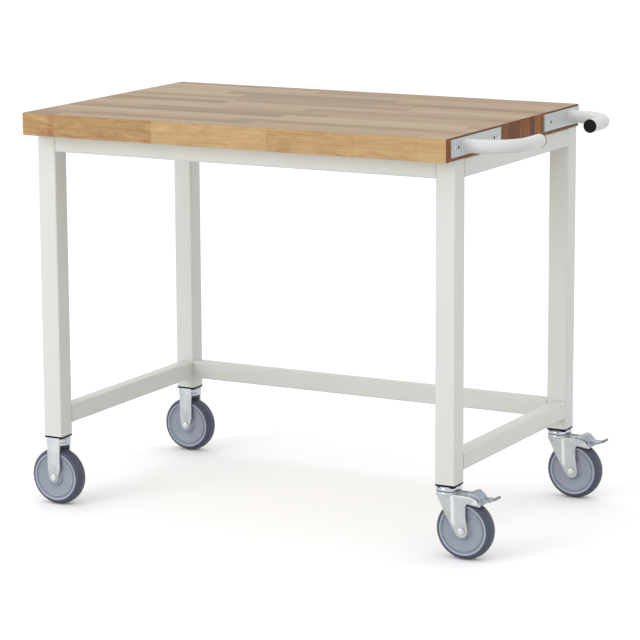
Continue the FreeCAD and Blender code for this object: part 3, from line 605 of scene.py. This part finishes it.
def eased(profile: Profile, steps: int = 5, scale: float = 1.0) -> Outline:
    """Round the corners of an open outline.

    Args:
        profile: Points as (radius, height, corner radius).
        steps: Points on each rounded corner.
        scale: Factor on the result.

    Returns:
        The outline's points as (radius, height).
    """
    points = [Vector((r, h)) for r, h, _ in profile]
    done = [points[0]]
    for before, here, after, (_, _, ease) in zip(points, points[1:], points[2:], profile[1:]):
        arm_in, arm_out = (before - here), (after - here)
        cut = min(ease, arm_in.length * 0.49, arm_out.length * 0.49)
        if cut <= 1e-7:
            done.append(here)
            continue
        start, end = here + arm_in.normalized() * cut, here + arm_out.normalized() * cut
        for step in range(steps + 1):
            share = step / steps
            done.append(start * (1 - share) ** 2 + here * (2 * share * (1 - share)) + end * share ** 2)
    done.append(points[-1])
    return [(point.x * scale, point.y * scale) for point in done]


def finish_mesh(solid: Solid, sharp: float = 38.0, place: Matrix | None = None) -> Mesh:
    """Turn edited geometry into a mesh with smooth shading.

    Args:
        solid: The geometry, which is freed.
        sharp: Edges steeper than this many degrees stay sharp.
        place: Where to put it, if not where it is.

    Returns:
        The new mesh.
    """
    mesh = bpy.data.meshes.new("made")
    if place is not None:
        solid.transform(place)
    solid.to_mesh(mesh)
    solid.free()
    mesh.shade_smooth()
    mesh.set_sharp_from_angle(angle=radians(sharp))
    return mesh


def joined(*meshes: Mesh) -> Solid:
    """Turn meshes back into geometry to edit.

    Args:
        meshes: The meshes, which are removed.

    Returns:
        The geometry of them all.
    """
    solid = bmesh.new()
    for mesh in meshes:
        solid.from_mesh(mesh)
        bpy.data.meshes.remove(mesh)
    return solid


def lathe(outline: Outline, place: Matrix, segments: int) -> Mesh:
    """Turn a closed outline, or one between two points on the axis, about local Z.

    Args:
        outline: Points as (radius, height).
        place: Where to put the result.
        segments: Steps round the turn.

    Returns:
        The new mesh.
    """
    solid = bmesh.new()
    rings = []
    for radius, height in outline:
        if radius < 1e-6:
            rings.append([solid.verts.new((0.0, 0.0, height))])
            continue
        angles = [2 * pi * step / segments for step in range(segments)]
        rings.append([solid.verts.new((radius * cos(a), radius * sin(a), height)) for a in angles])
    for first, second in zip(rings, rings[1:] + rings[:1]):
        for step in range(segments):
            after = (step + 1) % segments
            corners = [first[step % len(first)], first[after % len(first)],
                       second[after % len(second)], second[step % len(second)]]
            unique = list(dict.fromkeys(corners))
            if len(unique) > 2:
                solid.faces.new(unique)
    bmesh.ops.recalc_face_normals(solid, faces=solid.faces)
    return finish_mesh(solid, place=place)


def turned_below(node: str, profile: Profile, segments: int) -> Mesh:
    """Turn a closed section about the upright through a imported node's middle, down from its top.

    Args:
        node: The node's name.
        profile: The section, in mm.
        segments: Steps round the turn.

    Returns:
        The new mesh.
    """
    _, high, middle = span(node)
    place = Matrix.Translation((middle.x, middle.y, high.z))
    return lathe(eased(profile, scale=MM), place, segments)


def loft(solid: Solid, sections: Sequence[Sequence[Vector]]) -> None:
    """Join closed sections into a solid with flat ends.

    Args:
        solid: The geometry that it is added to.
        sections: The sections in order, each with as many points.
    """
    rings = [[solid.verts.new(point) for point in section] for section in sections]
    made = [solid.faces.new(rings[0]), solid.faces.new(rings[-1])]
    for first, second in zip(rings, rings[1:]):
        for k in range(len(first)):
            after = (k + 1) % len(first)
            made.append(solid.faces.new((first[k], first[after], second[after], second[k])))
    bmesh.ops.recalc_face_normals(solid, faces=made)


def settled(holder: bpy.types.Object) -> Mesh:
    """Apply a helper object's modifiers and remove it.

    Args:
        holder: The helper object.

    Returns:
        The finished mesh.
    """
    graph = bpy.context.evaluated_depsgraph_get()
    mesh = bpy.data.meshes.new_from_object(holder.evaluated_get(graph))
    discard(holder)
    return mesh


def packed(node: str) -> Solid:
    """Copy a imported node's geometry, with its faces joined at their corners.

    Args:
        node: The node's name.

    Returns:
        The geometry.
    """
    solid = bmesh.new()
    solid.from_mesh(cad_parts[node].data)
    bmesh.ops.remove_doubles(solid, verts=solid.verts, dist=SAME_POINT)
    return solid


def pressed(node: str, ease: float) -> Mesh:
    """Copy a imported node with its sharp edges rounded, as pressed sheet has.

    Args:
        node: The node's name.
        ease: Width of the rounding, in metres.

    Returns:
        The new mesh.
    """
    solid = packed(node)
    bmesh.ops.dissolve_limit(solid, angle_limit=radians(1.0), verts=solid.verts, edges=solid.edges)
    holder = put("holder", finish_mesh(solid))
    bevel = holder.modifiers.new("ease", "BEVEL")
    bevel.limit_method = "ANGLE"
    bevel.angle_limit = radians(42.0)
    bevel.width = ease
    bevel.segments = 3
    bevel.use_clamp_overlap = True
    return finish_mesh(joined(settled(holder)), 48.0)


def node_islands(node: str) -> list[tuple[Vector, Vector, Vector]]:
    """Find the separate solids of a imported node.

    Args:
        node: The node's name.

    Returns:
        Each solid's lowest corner, highest corner and middle, in order of place.
    """
    solid = packed(node)
    todo = set(solid.verts)
    boxes = []
    while todo:
        stack = [todo.pop()]
        found = []
        while stack:
            vertex = stack.pop()
            found.append(vertex.co.copy())
            for edge in vertex.link_edges:
                other = edge.other_vert(vertex)
                if other in todo:
                    todo.discard(other)
                    stack.append(other)
        low, high = (Vector([pick(p[k] for p in found) for k in range(3)]) for pick in (min, max))
        boxes.append((low, high, (low + high) / 2))
    solid.free()
    return sorted(boxes, key=lambda box: tuple(round(v, 4) for v in box[0]))


class Repeater:
    """Geometry Nodes group that sets copies of one small mesh on marked points."""

    def __init__(self) -> None:
        self.group = bpy.data.node_groups.new("repeat_on_points", "GeometryNodeTree")
        _, self.item, self.size, _ = (
            self.group.interface.new_socket(name, in_out=way, socket_type=f"NodeSocket{kind}").identifier
            for name, way, kind in (("Geometry", "INPUT", "Geometry"), ("Item", "INPUT", "Object"),
                                    ("Size", "INPUT", "Float"), ("Geometry", "OUTPUT", "Geometry")))
        given, result, info, align, twist, turn, place, real, aim, spin = (
            self.group.nodes.new(kind) for kind in (
                "NodeGroupInput", "NodeGroupOutput", "GeometryNodeObjectInfo",
                "FunctionNodeAlignRotationToVector", "FunctionNodeAxisAngleToRotation",
                "FunctionNodeRotateRotation", "GeometryNodeInstanceOnPoints", "GeometryNodeRealizeInstances",
                "GeometryNodeInputNamedAttribute", "GeometryNodeInputNamedAttribute"))
        for node, name, kind in ((aim, "aim", "FLOAT_VECTOR"), (spin, "spin", "FLOAT")):
            node.data_type = kind
            node.inputs["Name"].default_value = name
        align.axis = "Z"
        turn.rotation_space = "LOCAL"
        twist.inputs["Axis"].default_value = (0.0, 0.0, 1.0)
        for start, out, end, into in (
                (given, "Item", info, "Object"), (aim, "Attribute", align, "Vector"),
                (spin, "Attribute", twist, "Angle"), (align, "Rotation", turn, "Rotation"),
                (twist, "Rotation", turn, "Rotate By"), (given, "Geometry", place, "Points"),
                (info, "Geometry", place, "Instance"), (turn, "Rotation", place, "Rotation"),
                (given, "Size", place, "Scale"), (place, "Instances", real, "Geometry"),
                (real, "Geometry", result, "Geometry")):
            self.group.links.new(start.outputs[out], end.inputs[into])

    def spread(self, item: Mesh, spots: Sequence[Spot], size: float = 1.0) -> Mesh:
        """Set copies of an item on spots.

        Args:
            item: The item's mesh, standing on the origin and facing +Z.
            spots: Each copy's place, the way that it faces and its turn about that, in radians.
            size: The copies' scale.

        Returns:
            One mesh with all the copies.
        """
        marks = bpy.data.meshes.new("marks")
        marks.from_pydata([tuple(spot) for spot, _, _ in spots], [], [])
        marks.attributes.new("aim", "FLOAT_VECTOR", "POINT")
        marks.attributes.new("spin", "FLOAT", "POINT")
        for index, (_, way, turn) in enumerate(spots):
            marks.attributes["aim"].data[index].vector = tuple(way)
            marks.attributes["spin"].data[index].value = turn
        model, holder = put("item", item), put("marks", marks)
        modifier = holder.modifiers.new("repeat", "NODES")
        modifier.node_group = self.group
        modifier[self.item] = model
        modifier[self.size] = size
        mesh = settled(holder)
        discard(model)
        return mesh


REPEAT = Repeater()


def facing(spot: Sequence[float], way: Sequence[float]) -> Matrix:
    """Find the place of something that stands on a spot and faces a way.

    Args:
        spot: The place.
        way: The way that local Z points.

    Returns:
        The place as a matrix.
    """
    return Matrix.Translation(Vector(spot)) @ Vector(way).to_track_quat("Z", "Y").to_matrix().to_4x4()


def screw_head(radius: float, height: float) -> Mesh:
    """Make a pan head with a cross recess, facing +Z.

    Args:
        radius: The head's radius.
        height: The head's height.

    Returns:
        The new mesh.
    """
    outline = eased([(0.0, 0.0, 0.0), (radius, 0.0, 0.0), (radius, height * 0.45, radius * 0.25),
                     (radius * 0.62, height, radius * 0.5), (0.0, height, 0.0)])
    holder = put("head", lathe(outline, Matrix(), 40))
    cutters = []
    for length, width in ((1.15, 0.2), (0.2, 1.15)):
        cutter = bmesh.new()
        bmesh.ops.create_cube(cutter, size=1.0)
        for vertex in cutter.verts:
            taper, level = (1.0, 1.35) if vertex.co.z > 0 else (0.55, 0.28)
            vertex.co = Vector((vertex.co.x * radius * length * taper, vertex.co.y * radius * width * taper,
                                height * level))
        tool = put("cutter", finish_mesh(cutter))
        cut = holder.modifiers.new("recess", "BOOLEAN")
        cut.object = tool
        cut.solver = "EXACT"
        cutters.append(tool)
    solid = joined(settled(holder))
    for tool in cutters:
        discard(tool)
    bmesh.ops.dissolve_degenerate(solid, dist=SAME_POINT, edges=solid.edges)
    return finish_mesh(solid, 35.0)


def lock_nut(flats: float, height: float, bore: float) -> Mesh:
    """Make a chamfered hexagon nut with a round collar, facing +Z.

    Args:
        flats: Width across flats.
        height: Full height.
        bore: Radius of the hole.

    Returns:
        The new mesh.
    """
    solid = bmesh.new()
    corner, collar = flats / sqrt(3), flats * 0.42
    sections = []
    for level, scale in ((0.0, 0.93), (0.08, 1.0), (0.62, 1.0), (0.74, 0.9)):
        angles = [radians(60 * k) for k in range(6)]
        sections.append([Vector((corner * scale * cos(angle), corner * scale * sin(angle),
                                 height * level)) for angle in angles])
    loft(solid, sections)
    outline = eased([
        (0.0, height * 0.7, 0.0), (collar, height * 0.7, 0.0), (collar, height, 0.6 * MM),
        (bore * 1.02, height, 0.4 * MM), (bore * 1.02, height * 0.8, 0.2 * MM),
        (bore * 0.9, height * 0.86, 0.3 * MM), (0.0, height * 0.86, 0.0)])
    return finish_mesh(joined(finish_mesh(solid, 20.0), lathe(outline, Matrix(), 40)), 30.0)


def nuts(node: str, body: str) -> None:
    """Rebuild the lock nuts of a node.

    Args:
        node: The nuts' node.
        body: The body that they ride on.
    """
    spots = [((middle.x, low.y, middle.z), (0, 1, 0), NUT_TURN) for low, _, middle in node_islands(node)]
    mesh = REPEAT.spread(lock_nut(NUT_FLATS, NUT_HEIGHT, NUT_BORE), spots)
    piece(f"lock_{node}", mesh, BRIGHT, body, [node])


def ripple() -> Mesh:
    """Make one ripple of a weld seam, a flat drop about 1 unit wide.

    Returns:
        The new mesh.
    """
    solid = bmesh.new()
    bmesh.ops.create_uvsphere(solid, u_segments=10, v_segments=6, radius=0.5)
    bmesh.ops.scale(solid, vec=(1.0, 1.0, 0.62), verts=solid.verts)
    return finish_mesh(solid, 80.0)


@dataclass
class Worktop:
    """The beech board, its brackets and the screws that hold it from below."""

    head_radius: float = 5.0 * MM
    head_height: float = 3.0 * MM
    turn: float = 40.0

    def build(self) -> None:
        """Dress the board and rebuild the screw heads under it."""
        dress(WOOD, "worktop")
        dress(FRAME_PAINT, "worktop_brackets")
        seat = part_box("worktop_screws")[0][2] + self.head_height
        spots = [((middle.x, middle.y, seat), (0, 0, -1), middle.x * self.turn)
                 for _, _, middle in node_islands("worktop_screws")]
        mesh = REPEAT.spread(screw_head(self.head_radius, self.head_height), spots)
        piece("worktop_screw_heads", mesh, BRIGHT, "frame", ["worktop_screws"])


@dataclass
class TubeFrame:
    """Legs and rails with the weld seams that join them."""

    bead: float = 3.4 * MM
    corner: float = 4.0 * MM
    gap: float = 0.3 * MM
    twist: float = 0.7

    def build(self) -> None:
        """Dress the tubes and lay the weld seams."""
        rails = [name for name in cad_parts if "_rail_" in name]
        dress(FRAME_PAINT, *rails, *(f"leg_{row}_{side}" for row in Row for side in Side))
        dress(BLACK, "leg_end_caps")
        dress(BRIGHT, "leg_insert_plates", "castor_stem_bolts")
        spots = [spot for name in rails for spot in self.seams(name)]
        mesh = REPEAT.spread(ripple(), spots, self.bead)
        piece("weld_seams", mesh, FRAME_PAINT, "frame", ())

    def seams(self, rail: str) -> list[Spot]:
        """Find the ripples of the seams under a rail's two ends.

        Args:
            rail: The rail's node.

        Returns:
            Each ripple's place, the way that it faces and its turn.
        """
        low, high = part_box(rail)
        along = 0 if high[0] - low[0] > high[1] - low[1] else 1
        across = 1 - along
        start, stop = low[across] + self.corner, high[across] - self.corner
        spots = []
        for end, inward in ((low[along], 1), (high[along], -1)):
            for step in range(int((stop - start) / WELD_PITCH) + 1):
                spot, way = Vector((0.0, 0.0, low[2])), Vector((0.0, 0.0, -1.0))
                spot[along] = end + inward * self.gap
                spot[across] = start + step * WELD_PITCH
                way[along] = inward
                spots.append((spot, way, step * self.twist))
        return spots


@dataclass
class HandleScrews:
    """The pan-head screws in both handle plates, and black cups in the spare holes that stand in for their
    shade: painted shade.
    """

    radius: float = 4.6 * MM
    height: float = 2.6 * MM
    turn: float = 55.0
    hole_edge: float = 32.0 * MM

    def build(self) -> None:
        """Rebuild the heads with their cross recesses, and fill the spare holes with black cups as painted
        shade.
        """
        right = (1, 0, 0)
        screws = [((high.x - self.height, middle.y, middle.z), right, middle.y * self.turn)
                  for _, high, middle in node_islands("handle_screws")]
        mesh = REPEAT.spread(screw_head(self.radius, self.height), screws)
        piece("handle_screw_heads", mesh, BRIGHT, "frame", ["handle_screws"])
        holes = []
        for row in Row:
            low, high, _ = span(f"handle_plate_{row}")
            for place in (low.y + self.hole_edge, high.y - self.hole_edge):
                holes.append(((high.x, place, screws[0][0][2]), right, 0.0))
        # Painted shade: black cups in the spare holes
        mesh = REPEAT.spread(lathe(eased(SPARE_HOLE_SHADE_CUP, scale=MM), Matrix(), 32), holes)
        piece("spare_hole_cups", mesh, BLACK, "frame", ())


@dataclass
class Handle:
    """One push handle: plate, bent tube, weld and end plug."""

    row: Row
    ease: float = 0.5 * MM
    bead: float = 3.6 * MM
    gap: float = 0.4 * MM
    twist: float = 0.9
    flange: float = 2.5 * MM
    plug_depth: float = 12.0 * MM

    def build(self) -> None:
        """Press the plate, dress the tube, lay the weld and rebuild the plug."""
        plate = f"handle_plate_{self.row}"
        piece(f"pressed_plate_{self.row}", pressed(plate, self.ease), PLATE_PAINT, "frame", [plate])
        dress(HANDLE_PAINT, f"handle_tube_{self.row}")
        self.weld()
        self.end_plug()

    def weld(self) -> None:
        """Lay the weld round the tube's foot."""
        low, high, middle = span(f"handle_tube_{self.row}")
        radius = (high.z - low.z) / 2
        foot = Vector((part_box(f"handle_plate_{self.row}")[1][0], low.y + radius, middle.z))
        if self.row is Row.REAR:
            foot.y = high.y - radius
        count = int(2 * pi * radius / WELD_PITCH)
        spots = []
        for step in range(count):
            angle = 2 * pi * step / count
            out = Vector((0.0, cos(angle), sin(angle)))
            spots.append((foot + out * (radius + self.gap), out + Vector((1.0, 0.0, 0.0)), step * self.twist))
        mesh = REPEAT.spread(ripple(), spots, self.bead)
        piece(f"handle_weld_{self.row}", mesh, HANDLE_PAINT, "frame", ())

    def end_plug(self) -> None:
        """Rebuild the tube's black end plug with a raised rim."""
        plug = f"handle_plug_{self.row}"
        low, high, middle = span(plug)
        outward = 1.0 if self.row is Row.FRONT else -1.0
        radius, tall = (high.z - low.z) / 2, self.flange
        middle.y = (high.y if outward > 0 else low.y) - outward * tall
        outline = eased([
            (0.0, -self.plug_depth, 0.0), (radius * 0.86, -self.plug_depth, 0.0), (radius * 0.86, 0.0, 0.0),
            (radius, 0.0, 0.0), (radius, tall, 1.1 * MM), (radius * 0.80, tall, 0.6 * MM),
            (radius * 0.76, tall * 0.62, 0.6 * MM), (radius * 0.34, tall * 0.62, 0.6 * MM),
            (radius * 0.30, tall * 0.8, 0.6 * MM), (0.0, tall * 0.8, 0.0)])
        mesh = lathe(outline, facing(middle, (0, outward, 0)), 64)
        piece(f"tube_plug_{self.row}", mesh, BLACK, "frame", [plug])


@dataclass
class Wheel:
    """One wheel: crowned tyre on a moulded hub."""

    row: Row
    side: Side
    segments: int = 128

    def build(self) -> None:
        """Rebuild the tyre and hub with their rounded edges, rings and beads."""
        tag = f"{self.row}_{self.side}"
        tyre, hub, body = f"tyre_{tag}", f"wheel_hub_{tag}", f"wheel_{tag}"
        middle = span(hub)[2]
        ways = [facing(middle, (0, way, 0)) for way in (-1, 1)]
        for name, node, half, steps, finish in (
                ("crowned", tyre, TYRE_HALF, 6, TYRE_RUBBER), ("moulded", hub, HUB_HALF, 4, HUB_PLASTIC)):
            upper = eased(half, steps, MM)
            outline = upper + [(radius, -height) for radius, height in reversed(upper) if height > 0]
            mesh = lathe(outline, ways[0], self.segments)
            piece(f"{name}_{node}", mesh, finish, body, [node])
        beads = joined(*(lathe(eased(HUB_BEAD, 4, MM), way, self.segments) for way in ways))
        # The beads take the lighter plastic, a painted highlight
        piece(f"hub_beads_{tag}", finish_mesh(beads), HUB_BEAD_HIGHLIGHT, body, ())
        dress(BEARING, f"wheel_bearing_{tag}")


@dataclass
class FixedCastors:
    """The two fixed forks on the left with their axles."""

    ease: float = 0.9 * MM
    leg_inside: float = 22.3 * MM

    def build(self) -> None:
        """Rebuild the forks with rounded edges and the nuts with collars."""
        for row in Row:
            node = f"fixed_fork_{row}"
            piece(f"pressed_{node}", pressed(node, self.ease), ZINC, "frame", [node])
            self.head(row)
        dress(BRIGHT, "fixed_axle_bolts", "fixed_axle_sleeves")
        nuts("fixed_axle_nuts", "frame")

    def head(self, row: Row) -> None:
        """Roll two polished rings round a fixed castor's head, flat behind the fork's legs.

        Args:
            row: The castor's row.
        """
        fork = f"fixed_fork_{row}"
        solid = joined(turned_below(fork, FIXED_HEAD, 128))
        for side in (-1, 1):
            face = Vector((0.0, span(fork)[2].y + side * self.leg_inside, 0.0))
            every = solid.verts[:] + solid.edges[:] + solid.faces[:]
            cut = bmesh.ops.bisect_plane(
                solid, geom=every, plane_co=face, plane_no=(0, side, 0), clear_outer=True)
            rim = [item for item in cut["geom_cut"] if isinstance(item, bmesh.types.BMEdge)]
            bmesh.ops.holes_fill(solid, edges=rim)
        piece(f"fixed_head_{row}", finish_mesh(solid), POLISHED, "frame", ())


@dataclass
class SwivelCastor:
    """One braked swivel castor: races, fork, axle and pedal. The tab's and sleeve's measures are in mm."""

    row: Row
    fork_ease: float = 1.1 * MM
    pedal_ease: float = 0.9 * MM
    tab_root: Triple = (27.5, 0.0, 5.5)
    tab_tilt: float = -26.0
    sleeve_shift: Triple = (10.6, 0.0, -2.25)
    sleeve_size: Triple = (11.6, 23.0, 5.3)
    sleeve_corner: float = 4.6
    sleeve_edge: float = 1.5

    def build(self) -> None:
        """Rebuild the races, the pressed fork with its ribs, and the brake pedal."""
        row = self.row
        body, brake = f"swivel_{row}", f"brake_{row}"
        head, fork, pedal = f"swivel_head_{row}", f"swivel_fork_{row}", f"brake_pedal_{row}"
        piece(f"polished_{head}", turned_below(head, UPPER_RACE, 96), POLISHED, "frame", [head])
        piece(f"pressed_{fork}", pressed(fork, self.fork_ease), ZINC, body, [fork])
        piece(f"pressed_{pedal}", pressed(pedal, self.pedal_ease), PEDAL_ZINC, brake, [pedal])
        piece(f"lower_race_{row}", turned_below(head, LOWER_RACE, 96), POLISHED, body, ())
        # The ribs carry a painted highlight along their crests
        piece(f"fork_ribs_{row}", self.ribs(), ZINC_PAINTED_HIGHLIGHT, body, ())
        piece(f"pedal_sleeve_{row}", self.sleeve(), SLEEVE, brake, ())
        dress(BRIGHT, f"swivel_axle_bolt_{row}", f"swivel_axle_sleeve_{row}", f"brake_pin_{row}",
              f"swivel_balls_{row}")
        dress(SHOE_RUBBER, f"brake_shoe_{row}")
        nuts(f"swivel_axle_nut_{row}", body)

    def ribs(self) -> Mesh:
        """Make the rounded rib that is pressed into each cheek of the fork.

        Returns:
            One mesh with both ribs.
        """
        low, _, middle = span(f"swivel_fork_{self.row}")
        foot = Vector((low.x, middle.y, 0.0))
        solid = bmesh.new()
        for side in (-1, 1):
            sections = []
            root = Vector((0.0, side * RIB_ROOT * MM, 0.0))
            for step in range(RIB_STEPS + 1):
                share = step / RIB_STEPS
                height = RIB_HEIGHT * sin(min(1.0, (1 - share) * 3.0) * pi / 2)
                level = RIB_TOP - share * RIB_LENGTH
                centre = RIB_START + share * RIB_LEAN
                lead = min(RIB_HALF, centre - max(EDGE_X + (EDGE_Z - level) * EDGE_SLOPE, EDGE_LEAST))
                section = []
                for k in range(RIB_STEPS + 1):
                    spread = 2 * k / RIB_STEPS - 1
                    across = centre + spread * (lead if spread < 0 else RIB_HALF)
                    sheet = CHEEK_HALF - max(0.0, TAPER_START - across) * TAPER
                    out = sheet + height * (1 + cos(pi * spread)) / 2
                    section.append(foot + Vector((across, side * out, level)) * MM)
                sections.append(section + [section[-1] - root, section[0] - root])
            loft(solid, sections)
        return finish_mesh(solid, 60.0)

    def sleeve(self) -> Mesh:
        """Make the grey sleeve over the pedal's tab.

        Returns:
            The new mesh.
        """
        root = span(f"brake_pin_{self.row}")[2] + Vector(self.tab_root) * MM
        tilt = Matrix.Rotation(radians(self.tab_tilt), 4, "Y")
        place = Matrix.Translation(root) @ tilt @ Matrix.Translation(Vector(self.sleeve_shift) * MM)
        solid = bmesh.new()
        bmesh.ops.create_cube(solid, size=1.0)
        bmesh.ops.scale(solid, vec=Vector(self.sleeve_size) * MM, verts=solid.verts)
        for chosen, offset, steps in (
                (lambda edge: abs(edge.verts[0].co.z - edge.verts[1].co.z) > MM, self.sleeve_corner, 6),
                (lambda edge: edge.calc_face_angle(0.0) > 1.2, self.sleeve_edge, 4)):
            bmesh.ops.bevel(solid, geom=[edge for edge in solid.edges if chosen(edge)], offset=offset * MM,
                            segments=steps, affect="EDGES", profile=0.5)
        return finish_mesh(solid, 50.0, place)


@dataclass
class Studio:
    """A pale floor, soft light from above and the front left, and the photograph's camera."""

    horizon: float = 0.95
    zenith: float = 1.15
    key_spot: Triple = (-2.2, -4.8, 1.9)
    key_size: float = 3.0
    key_power: float = 84.0
    floor_reach: float = 40.0
    floor_white: float = 1.03
    floor_bounce: float = 0.61
    floor_tint: tuple[float, float] = (1.006, 1.014)
    azimuth: float = 28.21
    elevation: float = 11.05
    roll: float = -0.29
    distance: float = 6.2983
    aside: float = 0.0348
    above: float = -0.0278
    focal_pixels: float = 2896.4
    frame_pixels: float = 640.0
    sensor: float = 36.0
    clip: float = 100.0
    target: Triple = (-0.0412, -0.00225, 0.435)

    def build(self) -> None:
        """Set up floor, lights, world and camera."""
        self.floor()
        self.lights()
        self.camera()
        bpy.context.scene.view_settings.view_transform = "Standard"

    def floor(self) -> None:
        """Lay the pale floor, which looks whiter than the light that it throws back on the bench."""
        solid = bmesh.new()
        bmesh.ops.create_grid(solid, x_segments=1, y_segments=1, size=self.floor_reach)
        ground = put("floor", finish_mesh(solid))
        graph = Graph(bpy.data.materials.new("floor_pale"))
        haze = graph.noise((0.8, 0.8, 0.8), 2.0)
        seen = graph.make("LightPath", {}, "Is Camera Ray")
        for ray in ("Is Glossy Ray", "Is Transmission Ray"):
            seen = graph.math("MAXIMUM", seen, graph.make("LightPath", {}, ray))
        level = graph.band(seen, 0.0, 1.0, self.floor_bounce, self.floor_white)
        shade = graph.math("MULTIPLY", level, graph.band(haze, 0.3, 0.7, 0.99, 1.0))
        green, blue = (graph.math("MULTIPLY", shade, tint) for tint in self.floor_tint)
        graph.set(Base_Color=graph.vector(shade, green, blue), Roughness=0.9)
        ground.data.materials.append(graph.owner)

    def lights(self) -> None:
        """Set the world's light, brighter towards the zenith, and hang the key softbox."""
        world = bpy.data.worlds.new("studio")
        bpy.context.scene.world = world
        graph = Graph(world, "Background", "Generated")
        rise = graph.band(graph.axes()[2], 0.0, 1.0, self.horizon, self.zenith)
        graph.set(Color=(1.0, 1.0, 1.0, 1.0), Strength=rise)
        lamp = bpy.data.lights.new("key", "AREA")
        lamp.size = self.key_size
        lamp.energy = self.key_power
        put("key", lamp).matrix_world = facing(self.key_spot, Vector(self.key_spot) - Vector(self.target))

    def camera(self) -> None:
        """Place the camera where the photograph was taken from."""
        az, el, roll = (radians(angle) for angle in (self.azimuth, self.elevation, self.roll))
        back = Vector((sin(az) * cos(el), -cos(az) * cos(el), sin(el)))
        level = Vector((cos(az), sin(az), 0.0))
        rise = back.cross(level)
        right = level * cos(roll) + rise * sin(roll)
        up = rise * cos(roll) - level * sin(roll)
        lens = bpy.data.cameras.new("camera")
        lens.sensor_width = self.sensor
        lens.lens = self.focal_pixels / self.frame_pixels * self.sensor
        lens.clip_end = self.clip
        spot = Vector(self.target) + back * self.distance + right * self.aside + up * self.above
        holder = put("camera", lens)
        holder.matrix_world = Matrix.Translation(spot) @ Matrix((right, up, back)).transposed().to_4x4()
        bpy.context.scene.camera = holder


def build_bench() -> None:
    """Build every sub-assembly of the bench."""
    parts = [Worktop(), TubeFrame(), HandleScrews(), FixedCastors()]
    for row in Row:
        parts += [Handle(row), SwivelCastor(row), *(Wheel(row, side) for side in Side)]
    for part in parts:
        part.build()
        LOG.info("built %s", type(part).__name__)


def main() -> None:
    """Build the bench and its studio."""
    logging.basicConfig(level=logging.INFO, format="%(name)s: %(message)s")
    build_bench()
    Studio().build()
    bpy.context.view_layer.update()


if __name__ == "__main__":
    main()
